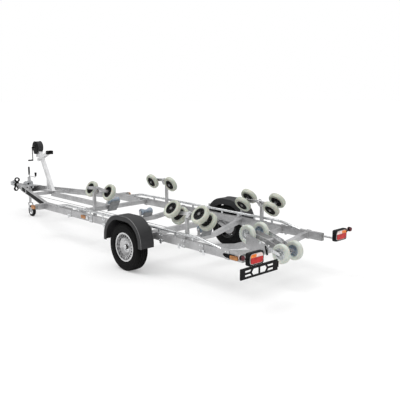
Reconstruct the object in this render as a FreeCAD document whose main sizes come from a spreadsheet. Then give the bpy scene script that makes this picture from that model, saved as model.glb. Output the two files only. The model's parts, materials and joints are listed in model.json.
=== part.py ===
# Boat trailer with a roller bed, built as its maker builds it.
# Millimetres. +X is the way it is towed, +Y its left side, +Z up, floor at Z = 0.
# The pieces are drawn with X = 0 at the road axle, and move together to the
# part's own origin, which lies in the middle of the trailer's length.
import FreeCAD, Part
import Sketcher
import math
import os
from FreeCAD import Vector, Rotation, Placement

os.makedirs("parts", exist_ok=True)
doc = FreeCAD.newDocument("boat_trailer")

# Driving dimensions
SIZES = (
    # overall reach and road wheels
    ("front_reach", 5450, "axle to the nose of the coupling"),
    ("rear_reach", 2150, "axle to the back of the tail lamps"),
    ("track_wide", 1940, "between the middles of the two tyres"),
    ("tyre_diameter", 650, "185 R14 tyre"),
    ("tyre_wide", 185, "tyre section"),
    ("tread_wide", 138, "flat of the tread"),
    ("rim_diameter", 392, "over the rim's flanges"),
    ("rim_wide", 150, "over the rim's flanges"),
    ("seat_diameter", 360, "rim barrel under the tyre's beads"),
    ("rim_wall", 5, "rolled rim"),
    ("disc_wall", 7, "pressed wheel disc"),
    ("disc_dish", 38, "disc's step from its rim to its hub face"),
    ("hub_face_radius", 78, "flat of the disc round the studs"),
    ("slot_circle", 146, "radius of the ring of slots"),
    ("slot_count", 20, "slots in the disc"),
    ("slot_long", 35, "slot along its radius"),
    ("slot_wide", 22, "slot across"),
    ("stud_circle", 112, "diameter of the ring of studs"),
    ("stud_count", 5, "studs"),
    ("stud_bore", 14, "stud holes"),
    ("hub_bore", 66.6, "centre hole of the disc"),
    ("drum_diameter", 290, "brake drum"),
    ("drum_wide", 62, "brake drum"),
    ("axle_pin_diameter", 40, "stub axle"),
    ("hub_stand", 38, "hub's pilot and cap proud of the disc"),
    # torsion axle
    ("beam_size", 74, "square axle beam"),
    ("beam_ahead", 150, "axle beam ahead of the wheels"),
    ("saddle_tall", 11, "axle beam below the rails"),
    ("arm_thick", 34, "swing arm"),
    ("arm_wide", 66, "swing arm"),
    ("arm_gap", 8, "swing arm to the tyre, and back plate to the drum"),
    ("knuckle_diameter", 60, "boss between the swing arm and its back plate"),
    # side frames
    ("rail_wide", 50, "side rail"),
    ("side_room", 102.5, "tyre to the rail's outer face"),
    ("rail_high", 100, "side rail"),
    ("rail_under", 444, "floor to the rail's underside"),
    ("rail_front", 2620, "axle to the rail's front end"),
    ("tail_gap", 255, "back of the tail lamps to the rails' rear ends"),
    ("tube_diameter", 36, "upper tube"),
    ("tube_rise", 55, "middle of the upper tube over the rail"),
    ("tube_in_front", 660, "rail's front end to where the tube turns down"),
    ("tube_in_rear", 715, "rail's rear end to where the tube turns down"),
    ("tube_run_out", 360, "length of the tube's slope down to the rail"),
    ("strut_long", 34, "strut between rail and tube"),
    ("strut_thick", 10, "strut between rail and tube"),
    ("strut_count", 9, "struts on each side"),
    ("strut_in_rear", 140, "rearmost strut ahead of the tube's turn"),
    ("strut_in_front", 360, "foremost strut behind the tube's turn"),
    # drawbar
    ("leg_wide", 50, "drawbar leg"),
    ("head_out", 590, "legs' front end to the nose of the coupling"),
    ("nose_run", 250, "legs' front end to where their middles would meet"),
    ("bend_out", 80, "legs' bend ahead of the rails"),
    ("leg_lap", 90, "legs' rear end ahead of the first cross beam"),
    ("plate_thick", 6, "gusset and clamp plates"),
    ("clamp_long", 70, "clamp plates along the rail"),
    ("nose_plate_long", 330, "plates that hold the coupling's housing"),
    ("keel_wide", 60, "keel beam"),
    ("keel_high", 76, "keel beam"),
    ("keel_rise", 4, "keel beam over the rails' underside"),
    ("post_cross_fore", 50, "beam under the winch post, ahead of the post's foot"),
    ("post_cross_size", 60, "beam under the winch post"),
    # cross beams, front to rear
    ("cross_wide", 60, "cross beam along the trailer"),
    ("cross_high", 64, "cross beam"),
    ("cross_a_at", 1810, "first cross beam"),
    ("cross_a_drop", 4, "its middle below its ends"),
    ("cross_b_at", 870, "second cross beam"),
    ("cross_b_drop", 64, "its middle below its ends"),
    ("cross_c_at", -450, "third cross beam"),
    ("cross_c_drop", 126, "its middle below its ends"),
    ("cross_d_drop", 95, "its middle below its ends"),
    ("cross_e_drop", 84, "its middle below its ends"),
    ("cross_e_in", 235, "rear cross beam ahead of the rails' rear ends"),
    ("cross_flat", 170, "half of the flat in a beam's middle"),
    ("cross_sink", 12, "a beam's ends below the rail's top"),
    # coupling and jockey wheel
    ("housing_long", 470, "overrun housing"),
    ("housing_lap", 210, "housing's rear end behind the legs' front end"),
    ("coupling_rise", 12, "middle of the coupling over the rail's middle"),
    ("shaft_diameter", 50, "overrun shaft"),
    ("bellows_diameter", 84, "rubber bellows"),
    ("bellows_long", 140, "rubber bellows"),
    ("bellows_folds", 5, "rubber bellows"),
    ("head_wide", 74, "coupling head"),
    ("ball_diameter", 50, "tow ball"),
    ("ball_gap", 0.4, "tow ball in its socket"),
    ("lever_long", 300, "hand brake lever"),
    ("lever_grip", 160, "grip of the hand brake lever"),
    ("lever_back", 43, "hand brake lever behind the housing's rear end"),
    ("jockey_back", 510, "jockey wheel's stem behind the legs' front end"),
    ("stem_off", 8, "stem to the drawbar leg"),
    ("strap_wide", 40, "strap that clamps the stem to the leg"),
    ("strap_back", 35, "strap behind the stem"),
    ("stem_diameter", 60, "outer stem tube"),
    ("stem_top", 765, "floor to the top of the stem"),
    ("stem_foot", 400, "floor to the foot of the outer tube"),
    ("leg_tube_diameter", 50, "inner stem tube"),
    ("stem_fit", 0.05, "inner tube in the outer one, radial"),
    ("jockey_diameter", 220, "jockey wheel"),
    ("jockey_wide", 62, "jockey wheel"),
    ("jockey_trail", 60, "jockey wheel behind its stem"),
    ("fork_rise", 42, "top of the fork over the jockey wheel"),
    ("tube_sunk", 105, "top of the inner tube below the stem's"),
    ("jockey_crank_reach", 270, "jockey wheel's crank"),
    ("jockey_crank_rise", 22, "crank bar over the stem"),
    ("jockey_grip", 70, "crank's grip"),
    ("lead_ring", 96, "ring that the lamp lead is wound into"),
    ("lead_bundle", 24, "thickness of the wound lead"),
    ("lead_back", 60, "wound lead behind the housing's front"),
    # winch stand
    ("post_head_high", 1180, "floor to the post's head"),
    ("post_back", 1130, "post's foot behind the legs' front end"),
    ("post_lean", 375, "post's head ahead of its foot"),
    ("post_plate_long", 290, "foot plate"),
    ("post_plate_wide", 120, "foot plate"),
    ("post_plate_thick", 8, "foot plate"),
    ("post_plate_fore", 90, "foot plate's middle ahead of the post"),
    ("prop_fore", 165, "upright prop ahead of the post's foot"),
    ("prop_long", 44, "upright prop"),
    ("prop_wide", 40, "upright prop"),
    ("seat_reach", 155, "winch seat ahead of the post's head"),
    ("seat_low", 30, "winch seat's nose below the post's head"),
    ("seat_nose", 10, "winch seat's nose over the post's head"),
    ("seat_back", 80, "winch seat's heel behind the winch drum"),
    ("seat_fall", 75, "winch seat's heel below the winch drum"),
    ("winch_fore", 130, "winch drum ahead of the post's head"),
    ("winch_above", 165, "winch drum over the post's head"),
    ("post_size", 64, "winch post"),
    ("winch_plate_radius", 112, "winch side plates"),
    ("strap_radius", 100, "wound strap"),
    ("strap_clear", 12, "room round the wound strap"),
    ("winch_foot", 20, "winch's base below its side plates' rounds"),
    ("winch_wide", 116, "between the winch's side plates, outside"),
    ("winch_plate", 6, "winch side plates"),
    ("crank_long", 265, "winch crank"),
    ("grip_long", 92, "crank grip"),
    ("stop_fore", 65, "bow stop ahead of the post's foot"),
    ("stop_above", 88, "bow stop over the post's head"),
    ("stop_half", 56, "half of the bow stop's width"),
    ("stop_tall", 66, "bow stop"),
    ("stop_rear", 40, "bow stop's horns behind its middle"),
    ("stop_front", 30, "bow stop's front face ahead of its middle"),
    ("stop_arm_tall", 60, "arms of the bow stop"),
    ("stop_arm_thick", 8, "arms of the bow stop"),
    ("stop_arm_fore", 95, "arms' front end ahead of the post's head"),
    ("stop_arm_low", 75, "arms' front end below the post's head"),
    # rollers
    ("roller_diameter", 250, "bed rollers"),
    ("roller_wide", 70, "bed rollers"),
    ("hub_diameter", 162, "roller hub"),
    ("pin_diameter", 22, "roller pins"),
    ("pin_fit", 0.05, "pins in their bores, radial"),
    ("front_head_at", 1210, "axle to the front roller heads"),
    ("front_head_in", 105, "front heads' arms inside the rails' middles"),
    ("front_head_high", 940, "floor to the front heads' pivots"),
    ("front_head_tilt", 24, "degrees that the front heads lean in"),
    ("front_arm_reach", 235, "pivot to a front roller's pin"),
    ("front_roller_in", 61, "arm to the middle of a front roller"),
    ("rear_head_at", -886, "axle to the rear roller heads"),
    ("rear_head_in", 100, "rear heads' pivots inside the rails' middles"),
    ("rear_head_high", 845, "floor to the rear heads' pivots"),
    ("rear_head_tilt", 38, "degrees that the rear heads lean in"),
    ("rear_arm_reach", 262, "pivot to a rear roller pair's pin"),
    ("twin_apart", 164, "between the two rollers of a pair"),
    ("arm_drop", 16, "roller pins below the pivot"),
    ("arm_bar", 12, "rocker arm"),
    ("arm_deep", 46, "rocker arm"),
    ("boss_diameter", 44, "bosses of a rocker arm"),
    ("boss_wide", 40, "bosses of a rocker arm"),
    ("fork_plate", 8, "plates of a roller head's fork"),
    ("fork_gap", 1, "side play between a fork, its arm and the rollers"),
    ("head_post_size", 40, "posts of the roller heads"),
    # tilting cradle at the rear
    ("cradle_high", 530, "floor to the cradle's pivot"),
    ("cradle_off", 20, "cradle's pivot ahead of the rear cross beam"),
    ("cradle_fore", 265, "pivot to the front pair's pin"),
    ("cradle_aft", 305, "pivot to the rear pair's pin"),
    ("cradle_tilt", 15, "degrees that it hangs down behind"),
    ("cradle_apart", 250, "between the two rollers of a pair"),
    ("cradle_arm_side", 62, "middle line to a cradle arm"),
    ("cradle_roller_diameter", 248, "cradle rollers"),
    # keel rollers
    ("keel_roller_wide", 200, "keel rollers"),
    ("keel_roller_end", 104, "keel roller's ends"),
    ("keel_roller_waist", 62, "keel roller's waist"),
    ("keel_roller_a_high", 612, "floor to the first keel roller"),
    ("keel_roller_a_at", 1740, "axle to the first keel roller"),
    ("keel_roller_b_high", 548, "floor to the second keel roller"),
    ("keel_roller_c_high", 492, "floor to the third keel roller"),
    # mudguards
    ("guard_wide", 222, "mudguard"),
    ("guard_out", 4, "mudguard's middle outside the tyre's"),
    ("guard_reach", 415, "mudguard, ahead of and behind the axle"),
    ("guard_under", 372, "floor to the mudguard's foot"),
    ("guard_top", 748, "floor to the mudguard's top"),
    ("guard_shoulder", 560, "where its slope starts"),
    ("guard_flat", 205, "half of the flat on top"),
    ("guard_bend", 320, "radius of its bends"),
    ("guard_edge", 9, "radius along its outer edges"),
    ("guard_wall", 5, "moulded wall"),
    ("guard_band", 58, "depth of its outer band"),
    ("stay_wide", 34, "mudguard stay"),
    ("stay_thick", 8, "mudguard stay"),
    ("stay_tab", 90, "stay's upright tab"),
    ("stay_lap", 6, "stay on top of the rail"),
    ("stay_in", 70, "stay inside the mudguard's end"),
    # lamps and plate holder
    ("lamp_wide", 250, "tail lamp"),
    ("lamp_tall", 146, "tail lamp"),
    ("lamp_deep", 60, "tail lamp"),
    ("lamp_out", 58, "tail lamp's middle outside the rail's"),
    ("lamp_rise", 59, "tail lamp's middle over the rail's"),
    ("lamp_corner", 14, "corner radius of a tail lamp"),
    ("stalk_out", 212, "stalk marker outside the tail lamp's middle"),
    ("stalk_rise", 40, "stalk marker over the tail lamp's middle"),
    ("stalk_head", 60, "stalk marker's round head"),
    ("stalk_bar", 20, "rubber arm of a stalk marker"),
    ("holder_wide", 616, "plate holder"),
    ("holder_tall", 126, "plate holder"),
    ("holder_bar", 14, "bars of the plate holder"),
    ("holder_thick", 12, "plate holder"),
    ("holder_in", 47, "plate holder's middle inside the tail lamp's"),
    ("holder_flange", 25, "side flange of the plate holder"),
    ("front_bar_high", 90, "front marker arms"),
    ("front_bar_fore", 30, "front marker arms ahead of the rails"),
    ("front_bar_out", 165, "front marker arms' ends outside the rails' middles"),
    ("end_lamp_wide", 90, "front end marker"),
    ("end_lamp_tall", 60, "front end marker"),
    ("end_lamp_deep", 45, "front end marker"),
    ("side_lamp_at", 1410, "axle to the side markers"),
    ("side_lamp_long", 130, "side markers"),
    ("side_lamp_tall", 50, "side markers"),
    ("side_lamp_deep", 20, "side markers"),
    ("rear_side_lamp_in", 115, "rear side markers ahead of the rails' rear ends"),
    ("seat_gap", 0.3, "gap between pieces that only rest together"),
)

sheet = doc.addObject("Spreadsheet::Sheet", "size")
for row, (alias, value, meaning) in enumerate(SIZES, start=1):
    sheet.set("A%d" % row, meaning)
    sheet.set("B%d" % row, str(value))
    sheet.setAlias("B%d" % row, alias)
doc.recompute()

# Places that follow from the sizes, so that what seats or lines up moves together
AXLE = "(size.rear_reach - size.front_reach) / 2"
WHEEL_HIGH = "size.tyre_diameter / 2"
RAIL_TOP = "size.rail_under + size.rail_high"
RAIL_HIGH_MID = "(size.rail_under + size.rail_high / 2)"
RAIL_MID = "(size.track_wide / 2 - size.tyre_wide / 2 - size.side_room - size.rail_wide / 2)"
RAIL_INNER = f"({RAIL_MID} - size.rail_wide / 2)"
RAIL_OUTER = f"({RAIL_MID} + size.rail_wide / 2)"
RAIL_REAR = "(size.rear_reach - size.tail_gap)"
TUBE_HIGH = f"({RAIL_TOP} + size.tube_rise)"
TUBE_FRONT = "(size.rail_front - size.tube_in_front)"
TUBE_REAR = f"({RAIL_REAR} - size.tube_in_rear)"
STRUT_FIRST = f"({TUBE_REAR} - size.strut_in_rear)"
STRUT_RUN = f"({TUBE_FRONT} - size.strut_in_front + {STRUT_FIRST})"
BEAM_HIGH = "(size.rail_under - size.saddle_tall - size.beam_size / 2)"
LEG_FRONT = "(size.front_reach - size.head_out)"
LEG_NOSE = f"({LEG_FRONT} + size.nose_run)"
LEG_BEND = "(size.rail_front + size.bend_out)"
LEG_REAR = "(size.cross_a_at + size.leg_lap)"
LEG_SLOPE = f"(({RAIL_INNER} - size.leg_wide / 2) / ({LEG_NOSE} - {LEG_BEND}))"
LEG_HALF = f"size.leg_wide / 2 * sqrt(1 + {LEG_SLOPE} * {LEG_SLOPE})"
CROSS_TOP = f"({RAIL_TOP} - size.cross_sink)"
CROSS_E = f"(size.cross_e_in - {RAIL_REAR})"
CRADLE_AT = f"({CROSS_E} + size.cradle_off)"
CROSS_D = f"({CRADLE_AT} + size.cradle_fore + size.cradle_roller_diameter / 2 + size.cross_wide / 2)"
CROSS_AT = {"a": "size.cross_a_at", "b": "size.cross_b_at", "c": "size.cross_c_at", "d": CROSS_D, "e": CROSS_E}
HOUSING_REAR = f"({LEG_FRONT} - size.housing_lap)"
HOUSING_FRONT = f"({HOUSING_REAR} + size.housing_long)"
COUPLING_HIGH = f"({RAIL_HIGH_MID} + size.coupling_rise)"
JOCKEY_AT = f"({LEG_FRONT} - size.jockey_back)"
POST_FOOT = f"({LEG_FRONT} - size.post_back)"
POST_CROSS = f"({POST_FOOT} + size.post_cross_fore)"
POST_HEAD = f"({POST_FOOT} + size.post_lean)"
PROP_AT = f"({POST_FOOT} + size.prop_fore)"
WINCH_AT = f"({POST_HEAD} + size.winch_fore)"
WINCH_HIGH = "(size.post_head_high + size.winch_above)"
STOP_AT = f"({POST_FOOT} + size.stop_fore)"
STOP_HIGH = "(size.post_head_high + size.stop_above)"
GUARD_SIDE = "(size.track_wide / 2 + size.guard_out)"
LAMP_SIDE = f"({RAIL_MID} + size.lamp_out)"
LAMP_HIGH = f"({RAIL_HIGH_MID} + size.lamp_rise)"
HOLDER_SIDE = f"({LAMP_SIDE} - size.holder_in)"
FRONT_BAR_AT = "(size.rail_front + size.front_bar_fore)"
FRONT_BAR_END = f"({RAIL_MID} + size.front_bar_out)"
parts = []


def number(expression):
    """The value of an expression, for shapes that take plain numbers."""
    found = sheet.evalExpression(expression)
    return float(getattr(found, "Value", found))


def bind(thing, **links):
    """Ties a feature's properties to the sheet."""
    for prop, expression in links.items():
        thing.setExpression(prop, expression)
    return thing


def place(thing, x="0", y="0", z="0", turn_axis=None, turn="0"):
    """Sets where a feature stands, and its turn about an axis through it."""
    if turn_axis:
        thing.Placement = Placement(Vector(), Rotation(Vector(*turn_axis), 1))
        thing.setExpression("Placement.Rotation.Angle", turn)
    for letter, expression in zip("xyz", (x, y, z)):
        thing.setExpression("Placement.Base." + letter, expression)
    return thing


def block(name, size, middle):
    """A box given by its size and its middle."""
    thing = doc.addObject("Part::Box", name)
    bind(thing, Length=size[0], Width=size[1], Height=size[2])
    corner = ["(%s) - (%s) / 2" % (at, span) for at, span in zip(middle, size)]
    return place(thing, *corner)


AIM = {"x": Rotation(Vector(0, 1, 0), 90), "y": Rotation(Vector(1, 0, 0), -90), "z": Rotation()}


def rod(name, diameter, length, middle, along="z"):
    """A round bar given by its diameter, length and middle."""
    thing = doc.addObject("Part::Cylinder", name)
    bind(thing, Radius="(%s) / 2" % diameter, Height=length)
    thing.Placement = Placement(Vector(), AIM[along])
    start = list(middle)
    index = "xyz".index(along)
    start[index] = "(%s) - (%s) / 2" % (middle[index], length)
    return place(thing, *start)


def fuse(name, things):
    """Joins pieces into one solid."""
    thing = doc.addObject("Part::MultiFuse", name)
    thing.Shapes = things
    thing.Refine = True
    return thing


def cut(name, base, tools):
    """Takes the tools' shapes out of a piece."""
    thing = doc.addObject("Part::Cut", name)
    thing.Base = base
    thing.Tool = tools[0] if len(tools) == 1 else fuse(name + "_tools", tools)
    thing.Refine = True
    return thing


def several(name, things):
    """Like pieces of one body that don't touch, kept in one node."""
    thing = doc.addObject("Part::Compound", name)
    thing.Links = things
    return thing


def mirrored(name, thing):
    """The same piece on the trailer's right side."""
    other = doc.addObject("Part::Mirroring", name)
    other.Source = thing
    other.Normal = (0, 1, 0)
    return other


def sketch_on(body, role, name, corners):
    """A closed outline of straight sides, every corner bound to the sheet."""
    sketch = body.newObject("Sketcher::SketchObject", name)
    plane = [item for item in body.Origin.OriginFeatures if item.Role == role][0]
    sketch.AttachmentSupport = [(plane, "")]
    sketch.MapMode = "FlatFace"
    spots = [Vector(number(u), number(v), 0) for u, v in corners]
    count = len(spots)
    for index in range(count):
        sketch.addGeometry(Part.LineSegment(spots[index], spots[(index + 1) % count]))
    for index in range(count):
        after = (index + 1) % count
        sketch.addConstraint(Sketcher.Constraint("Coincident", index, 2, after, 1))
    for index, (u, v) in enumerate(corners):
        ties = (("DistanceX", spots[index].x, u), ("DistanceY", spots[index].y, v))
        for kind, value, expression in ties:
            row = sketch.addConstraint(Sketcher.Constraint(kind, -1, 1, index, 1, value))
            sketch.setExpression("Constraints[%d]" % row, expression)
    return sketch


def padded(name, role, corners, thick):
    """A profile pushed out both ways from its plane."""
    body = doc.addObject("PartDesign::Body", name)
    pad = body.newObject("PartDesign::Pad", name + "_pad")
    pad.Profile = sketch_on(body, role, name + "_outline", corners)
    pad.Midplane = True
    bind(pad, Length=thick)
    return body


def rounded(body, name, radius, chosen):
    """Rounds the edges of a body that a test picks."""
    doc.recompute()
    solid = body.Tip
    names = ["Edge%d" % (index + 1) for index, edge in enumerate(solid.Shape.Edges) if chosen(edge)]
    fillet = body.newObject("PartDesign::Fillet", name)
    fillet.Base = (solid, names)
    bind(fillet, Radius=radius)
    body.Tip = fillet
    return body


def turned(name, corners):
    """A profile of (radius, place along Y) turned about the Y axis."""
    body = doc.addObject("PartDesign::Body", name)
    sketch = sketch_on(body, "XY_Plane", name + "_outline", corners)
    spin = body.newObject("PartDesign::Revolution", name + "_spin")
    spin.Profile = sketch
    spin.ReferenceAxis = (sketch, ["V_Axis"])
    spin.Angle = 360
    return body


def finish(thing, label):
    """Names a finished piece and moves it from the axle's frame to the part's."""
    thing.Label = label
    links = {path.lstrip("."): expression for path, expression in thing.ExpressionEngine}
    from_axle = links.get("Placement.Base.x", "0")
    thing.setExpression("Placement.Base.x", "(%s) + %s" % (from_axle, AXLE))
    parts.append(thing)
    return thing


def finish_pair(thing, stem):
    """Finishes a left piece and its mirror image on the right."""
    finish(thing, stem + "_left")
    other = mirrored(stem + "_mirror", thing)
    other.Label = stem + "_right"
    parts.append(other)
    return other


def at_head(thing, kind, away="0", down="0", out="0"):
    """Seats a piece of a leaning roller head, measured from the head's pivot."""
    tilt = "size.%s_head_tilt" % kind
    side = f"({RAIL_MID} - size.{kind}_head_in)"
    return place(thing, f"size.{kind}_head_at + ({away})",
                 f"{side} + ({down}) * sin({tilt}) + ({out}) * cos({tilt})",
                 f"size.{kind}_head_high - ({down}) * cos({tilt}) + ({out}) * sin({tilt})",
                 (1, 0, 0), tilt)


def bent_bar(name, points, diameter, bend, y_middle="0"):
    """A round bar in the XZ plane, of straight runs that tangent arcs join."""
    spots = [Vector(number(x), 0, number(z)) for x, z in points]
    radius = number(bend)
    edges = []
    start = spots[0]
    for before, corner, after in zip(spots, spots[1:], spots[2:]):
        into = (corner - before).normalize()
        away = (after - corner).normalize()
        half_turn = into.getAngle(away) / 2
        first = corner - into * (radius * math.tan(half_turn))
        last = corner + away * (radius * math.tan(half_turn))
        inward = (away - into).normalize()
        middle = corner + inward * (radius / math.cos(half_turn) - radius)
        edges.append(Part.LineSegment(start, first).toShape())
        edges.append(Part.Arc(first, middle, last).toShape())
        start = last
    edges.append(Part.LineSegment(start, spots[-1]).toShape())
    ring = Part.Circle(spots[0], spots[1] - spots[0], number(diameter) / 2).toShape()
    bar = doc.addObject("Part::Feature", name)
    bar.Shape = Part.Wire(edges).makePipeShell([Part.Wire([ring])], True, False)
    return place(bar, y=y_middle)


def pocketed(body, role, name, outline, count):
    """Openings cut right through along the plane's normal, in a ring."""
    if isinstance(outline, list):
        sketch = sketch_on(body, role, name, outline)
    else:
        sketch = ring_hole(body, role, name, *outline)
    pocket = body.newObject("PartDesign::Pocket", name + "_cut")
    pocket.Profile = sketch
    pocket.Type = "ThroughAll"
    pocket.Midplane = True
    pattern = body.newObject("PartDesign::PolarPattern", name + "_ring")
    pattern.Originals = [pocket]
    pattern.Axis = (sketch, ["N_Axis"])
    pattern.Angle = 360
    bind(pattern, Occurrences=count)
    body.Tip = pattern


def ring_hole(body, role, name, away, diameter):
    """A round hole's outline at a distance from the middle."""
    sketch = body.newObject("Sketcher::SketchObject", name)
    plane = [item for item in body.Origin.OriginFeatures if item.Role == role][0]
    sketch.AttachmentSupport = [(plane, "")]
    sketch.MapMode = "FlatFace"
    middle = Vector(number(away), 0, 0)
    sketch.addGeometry(Part.Circle(middle, Vector(0, 0, 1), number(diameter) / 2))
    for kind, value, expression in (("DistanceX", number(away), away), ("DistanceY", 0.0, "0")):
        row = sketch.addConstraint(Sketcher.Constraint(kind, -1, 1, 0, 3, value))
        sketch.setExpression("Constraints[%d]" % row, expression)
    row = sketch.addConstraint(Sketcher.Constraint("Diameter", 0, number(diameter)))
    sketch.setExpression("Constraints[%d]" % row, diameter)
    return sketch


def mirror_outline(half):
    """An outline of (radius, place) corners, completed on the other side."""
    return half + [(u, "-(%s)" % v) for u, v in reversed(half)]


# Road wheels
def make_tyre():
    half = "size.tyre_wide / 2"
    bead = "size.rim_wide / 2 - size.rim_wall - size.seat_gap"
    outer = "size.tyre_diameter / 2"
    side = [
        ("size.seat_diameter / 2 + size.seat_gap", bead),
        ("size.rim_diameter / 2 + 4", bead),
        ("size.rim_diameter / 2 + 24", half + " - 2"),
        ("(size.rim_diameter + size.tyre_diameter) / 4", half),
        (outer + " - 30", half + " - 5"),
        (outer + " - 8", "size.tread_wide / 2 + 6"),
        (outer, "size.tread_wide / 2 - 6"),
    ]
    tyre = turned("tyre", mirror_outline(side))
    return place(tyre, y="size.track_wide / 2", z=WHEEL_HIGH)


def make_rim():
    flange = "size.rim_diameter / 2"
    seat = "size.seat_diameter / 2"
    inner = "size.seat_diameter / 2 - size.rim_wall"
    edge = "size.rim_wide / 2"
    lip = "size.rim_wide / 2 - size.rim_wall"
    hub = "size.hub_bore / 2"
    face = "size.disc_dish - size.disc_wall"
    crown = "size.hub_face_radius + 42"
    rim = turned("rim", [
        (inner, "-(%s)" % edge), (flange, "-(%s)" % edge), (flange, "-(%s)" % lip),
        (seat, "-(%s)" % lip), (seat, lip), (flange, lip), (flange, edge), (inner, edge),
        (inner, face + " + 4"), (crown, face + " + 28"), ("size.hub_face_radius", "size.disc_dish"),
        (hub, "size.disc_dish"), (hub, face), ("size.hub_face_radius + 3", face),
        (crown + " + 1", face + " + 20"), (inner, face + " - 4"),
    ])
    half = "size.slot_wide / 2"
    low = "size.slot_circle - size.slot_long / 2"
    high = "size.slot_circle + size.slot_long / 2"
    slot = [(low, "-(%s)" % half), (high, "-(%s)" % half), (high, half), (low, half)]
    pocketed(rim, "XZ_Plane", "slot", slot, "size.slot_count")
    stud = ("size.stud_circle / 2", "size.stud_bore")
    pocketed(rim, "XZ_Plane", "stud_hole", stud, "size.stud_count")
    return place(rim, y="size.track_wide / 2", z=WHEEL_HIGH)


def make_drum():
    face = "size.disc_dish - size.disc_wall - size.seat_gap"
    bore = "size.axle_pin_diameter / 2 + size.pin_fit"
    outer = "size.drum_diameter / 2"
    back = face + " - size.drum_wide"
    pilot = "size.hub_bore / 2 - size.seat_gap"
    cap = face + " + size.hub_stand"
    drum = turned("drum", [
        ("0", face + " - 5"), (bore, face + " - 5"), (bore, back), (bore + " + 14", back),
        (bore + " + 14", face + " - 20"), (outer + " - 13", face + " - 20"),
        (outer + " - 13", back + " + 8"), (outer, back + " + 8"), (outer, face), (pilot, face),
        (pilot, cap + " - 8"), (pilot + " - 9", cap), ("0", cap),
    ])
    return place(drum, y="size.track_wide / 2", z=WHEEL_HIGH)


finish_pair(make_tyre(), "tyre")
finish_pair(make_rim(), "rim")
finish_pair(make_drum(), "brake_drum")

# Torsion axle: a square beam with a trailing arm, back plate and stub axle each side
DRUM_FACE = "size.track_wide / 2 + size.disc_dish - size.disc_wall - size.seat_gap"
DRUM_BACK = f"({DRUM_FACE} - size.drum_wide)"
ARM_OUTER = "(size.track_wide / 2 - size.tyre_wide / 2 - size.arm_gap)"


def make_swing_arm():
    arm_mid = ARM_OUTER + " - size.arm_thick / 2"
    half = "size.arm_wide / 2"
    bar = padded("swing_bar", "XZ_Plane", [
        ("0", f"{WHEEL_HIGH} + {half}"), ("0", f"{WHEEL_HIGH} - {half}"),
        ("size.beam_ahead", f"{BEAM_HIGH} - {half}"), ("size.beam_ahead", f"{BEAM_HIGH} + {half}")],
        "size.arm_thick")
    place(bar, y=arm_mid)
    eye = rod("swing_eye", "size.arm_wide", "size.arm_thick", ("0", arm_mid, WHEEL_HIGH), "y")
    elbow = rod("swing_elbow", "size.arm_wide + 4", "size.arm_thick",
                ("size.beam_ahead", arm_mid, BEAM_HIGH), "y")
    plate_at = DRUM_BACK + " - size.arm_gap / 2"
    boss_long = f"({plate_at} - {ARM_OUTER})"
    boss = rod("knuckle", "size.knuckle_diameter", boss_long,
               ("0", f"{ARM_OUTER} + {boss_long} / 2", WHEEL_HIGH), "y")
    pin_long = "(size.drum_wide + size.arm_gap / 2 - 12)"
    pin = rod("stub_axle", "size.axle_pin_diameter", pin_long,
              ("0", f"{plate_at} + {pin_long} / 2", WHEEL_HIGH), "y")
    back = rod("back_plate", "size.drum_diameter - 28", "4", ("0", plate_at + " - 2", WHEEL_HIGH), "y")
    return fuse("swing_arm", [bar, eye, elbow, boss, pin, back])


finish_pair(make_swing_arm(), "swing_arm")
beam_long = f"2 * ({ARM_OUTER} - size.arm_thick)"
axle_beam = block("axle_beam", ("size.beam_size", beam_long, "size.beam_size"),
                  ("size.beam_ahead", "0", BEAM_HIGH))
finish(axle_beam, "axle_beam")


# Side frames: a deep rail, a tube above it and the struts between them
def make_upper_tube(rail):
    weld = RAIL_TOP + " - size.tube_diameter / 4"
    tube = bent_bar("tube_bar", [
        (TUBE_FRONT + " + size.tube_run_out", weld), (TUBE_FRONT, TUBE_HIGH),
        ("-" + TUBE_REAR, TUBE_HIGH), (f"-{TUBE_REAR} - size.tube_run_out", weld)],
        "size.tube_diameter", "size.tube_run_out * 2", RAIL_MID)
    tall = "size.tube_rise"
    pieces = [tube]
    for index in range(int(number("size.strut_count"))):
        at = f"{STRUT_RUN} * {index} / (size.strut_count - 1) - {STRUT_FIRST}"
        pieces.append(block("strut_%d" % index, ("size.strut_long", "size.strut_thick", tall),
                            (at, RAIL_MID, f"{RAIL_TOP} + {tall} / 2")))
    return cut("upper_tube", fuse("tube_and_struts", pieces), [rail])


side_rail = block("rail", (f"size.rail_front + {RAIL_REAR}", "size.rail_wide", "size.rail_high"),
                  (f"(size.rail_front - {RAIL_REAR}) / 2", RAIL_MID, RAIL_HIGH_MID))
upper_tube = make_upper_tube(side_rail)
finish_pair(several("upper_tube_seated", [upper_tube]), "upper_tube")
finish_pair(several("rail_seated", [side_rail]), "side_rail")


# Drawbar legs, which run together to the coupling
def leg_middle(at):
    return f"{LEG_SLOPE} * ({LEG_NOSE} - ({at}))"


def leg_outer(at):
    return f"{leg_middle(at)} + {LEG_HALF}"


def leg_inner(at):
    return f"({leg_middle(at)} - {LEG_HALF})"


def make_leg():
    inner_face = f"({RAIL_INNER} - size.leg_wide)"
    leg = padded("leg", "XY_Plane", [
        (LEG_FRONT, leg_outer(LEG_FRONT)),
        (f"{LEG_NOSE} - ({RAIL_INNER} - {LEG_HALF}) / {LEG_SLOPE}", RAIL_INNER),
        (LEG_REAR, RAIL_INNER), (LEG_REAR, inner_face),
        (f"{LEG_NOSE} - ({inner_face} + {LEG_HALF}) / {LEG_SLOPE}", inner_face),
        (LEG_FRONT, leg_inner(LEG_FRONT))], "size.rail_high")
    return place(leg, z=RAIL_HIGH_MID)


finish_pair(make_leg(), "drawbar_leg")


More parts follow.
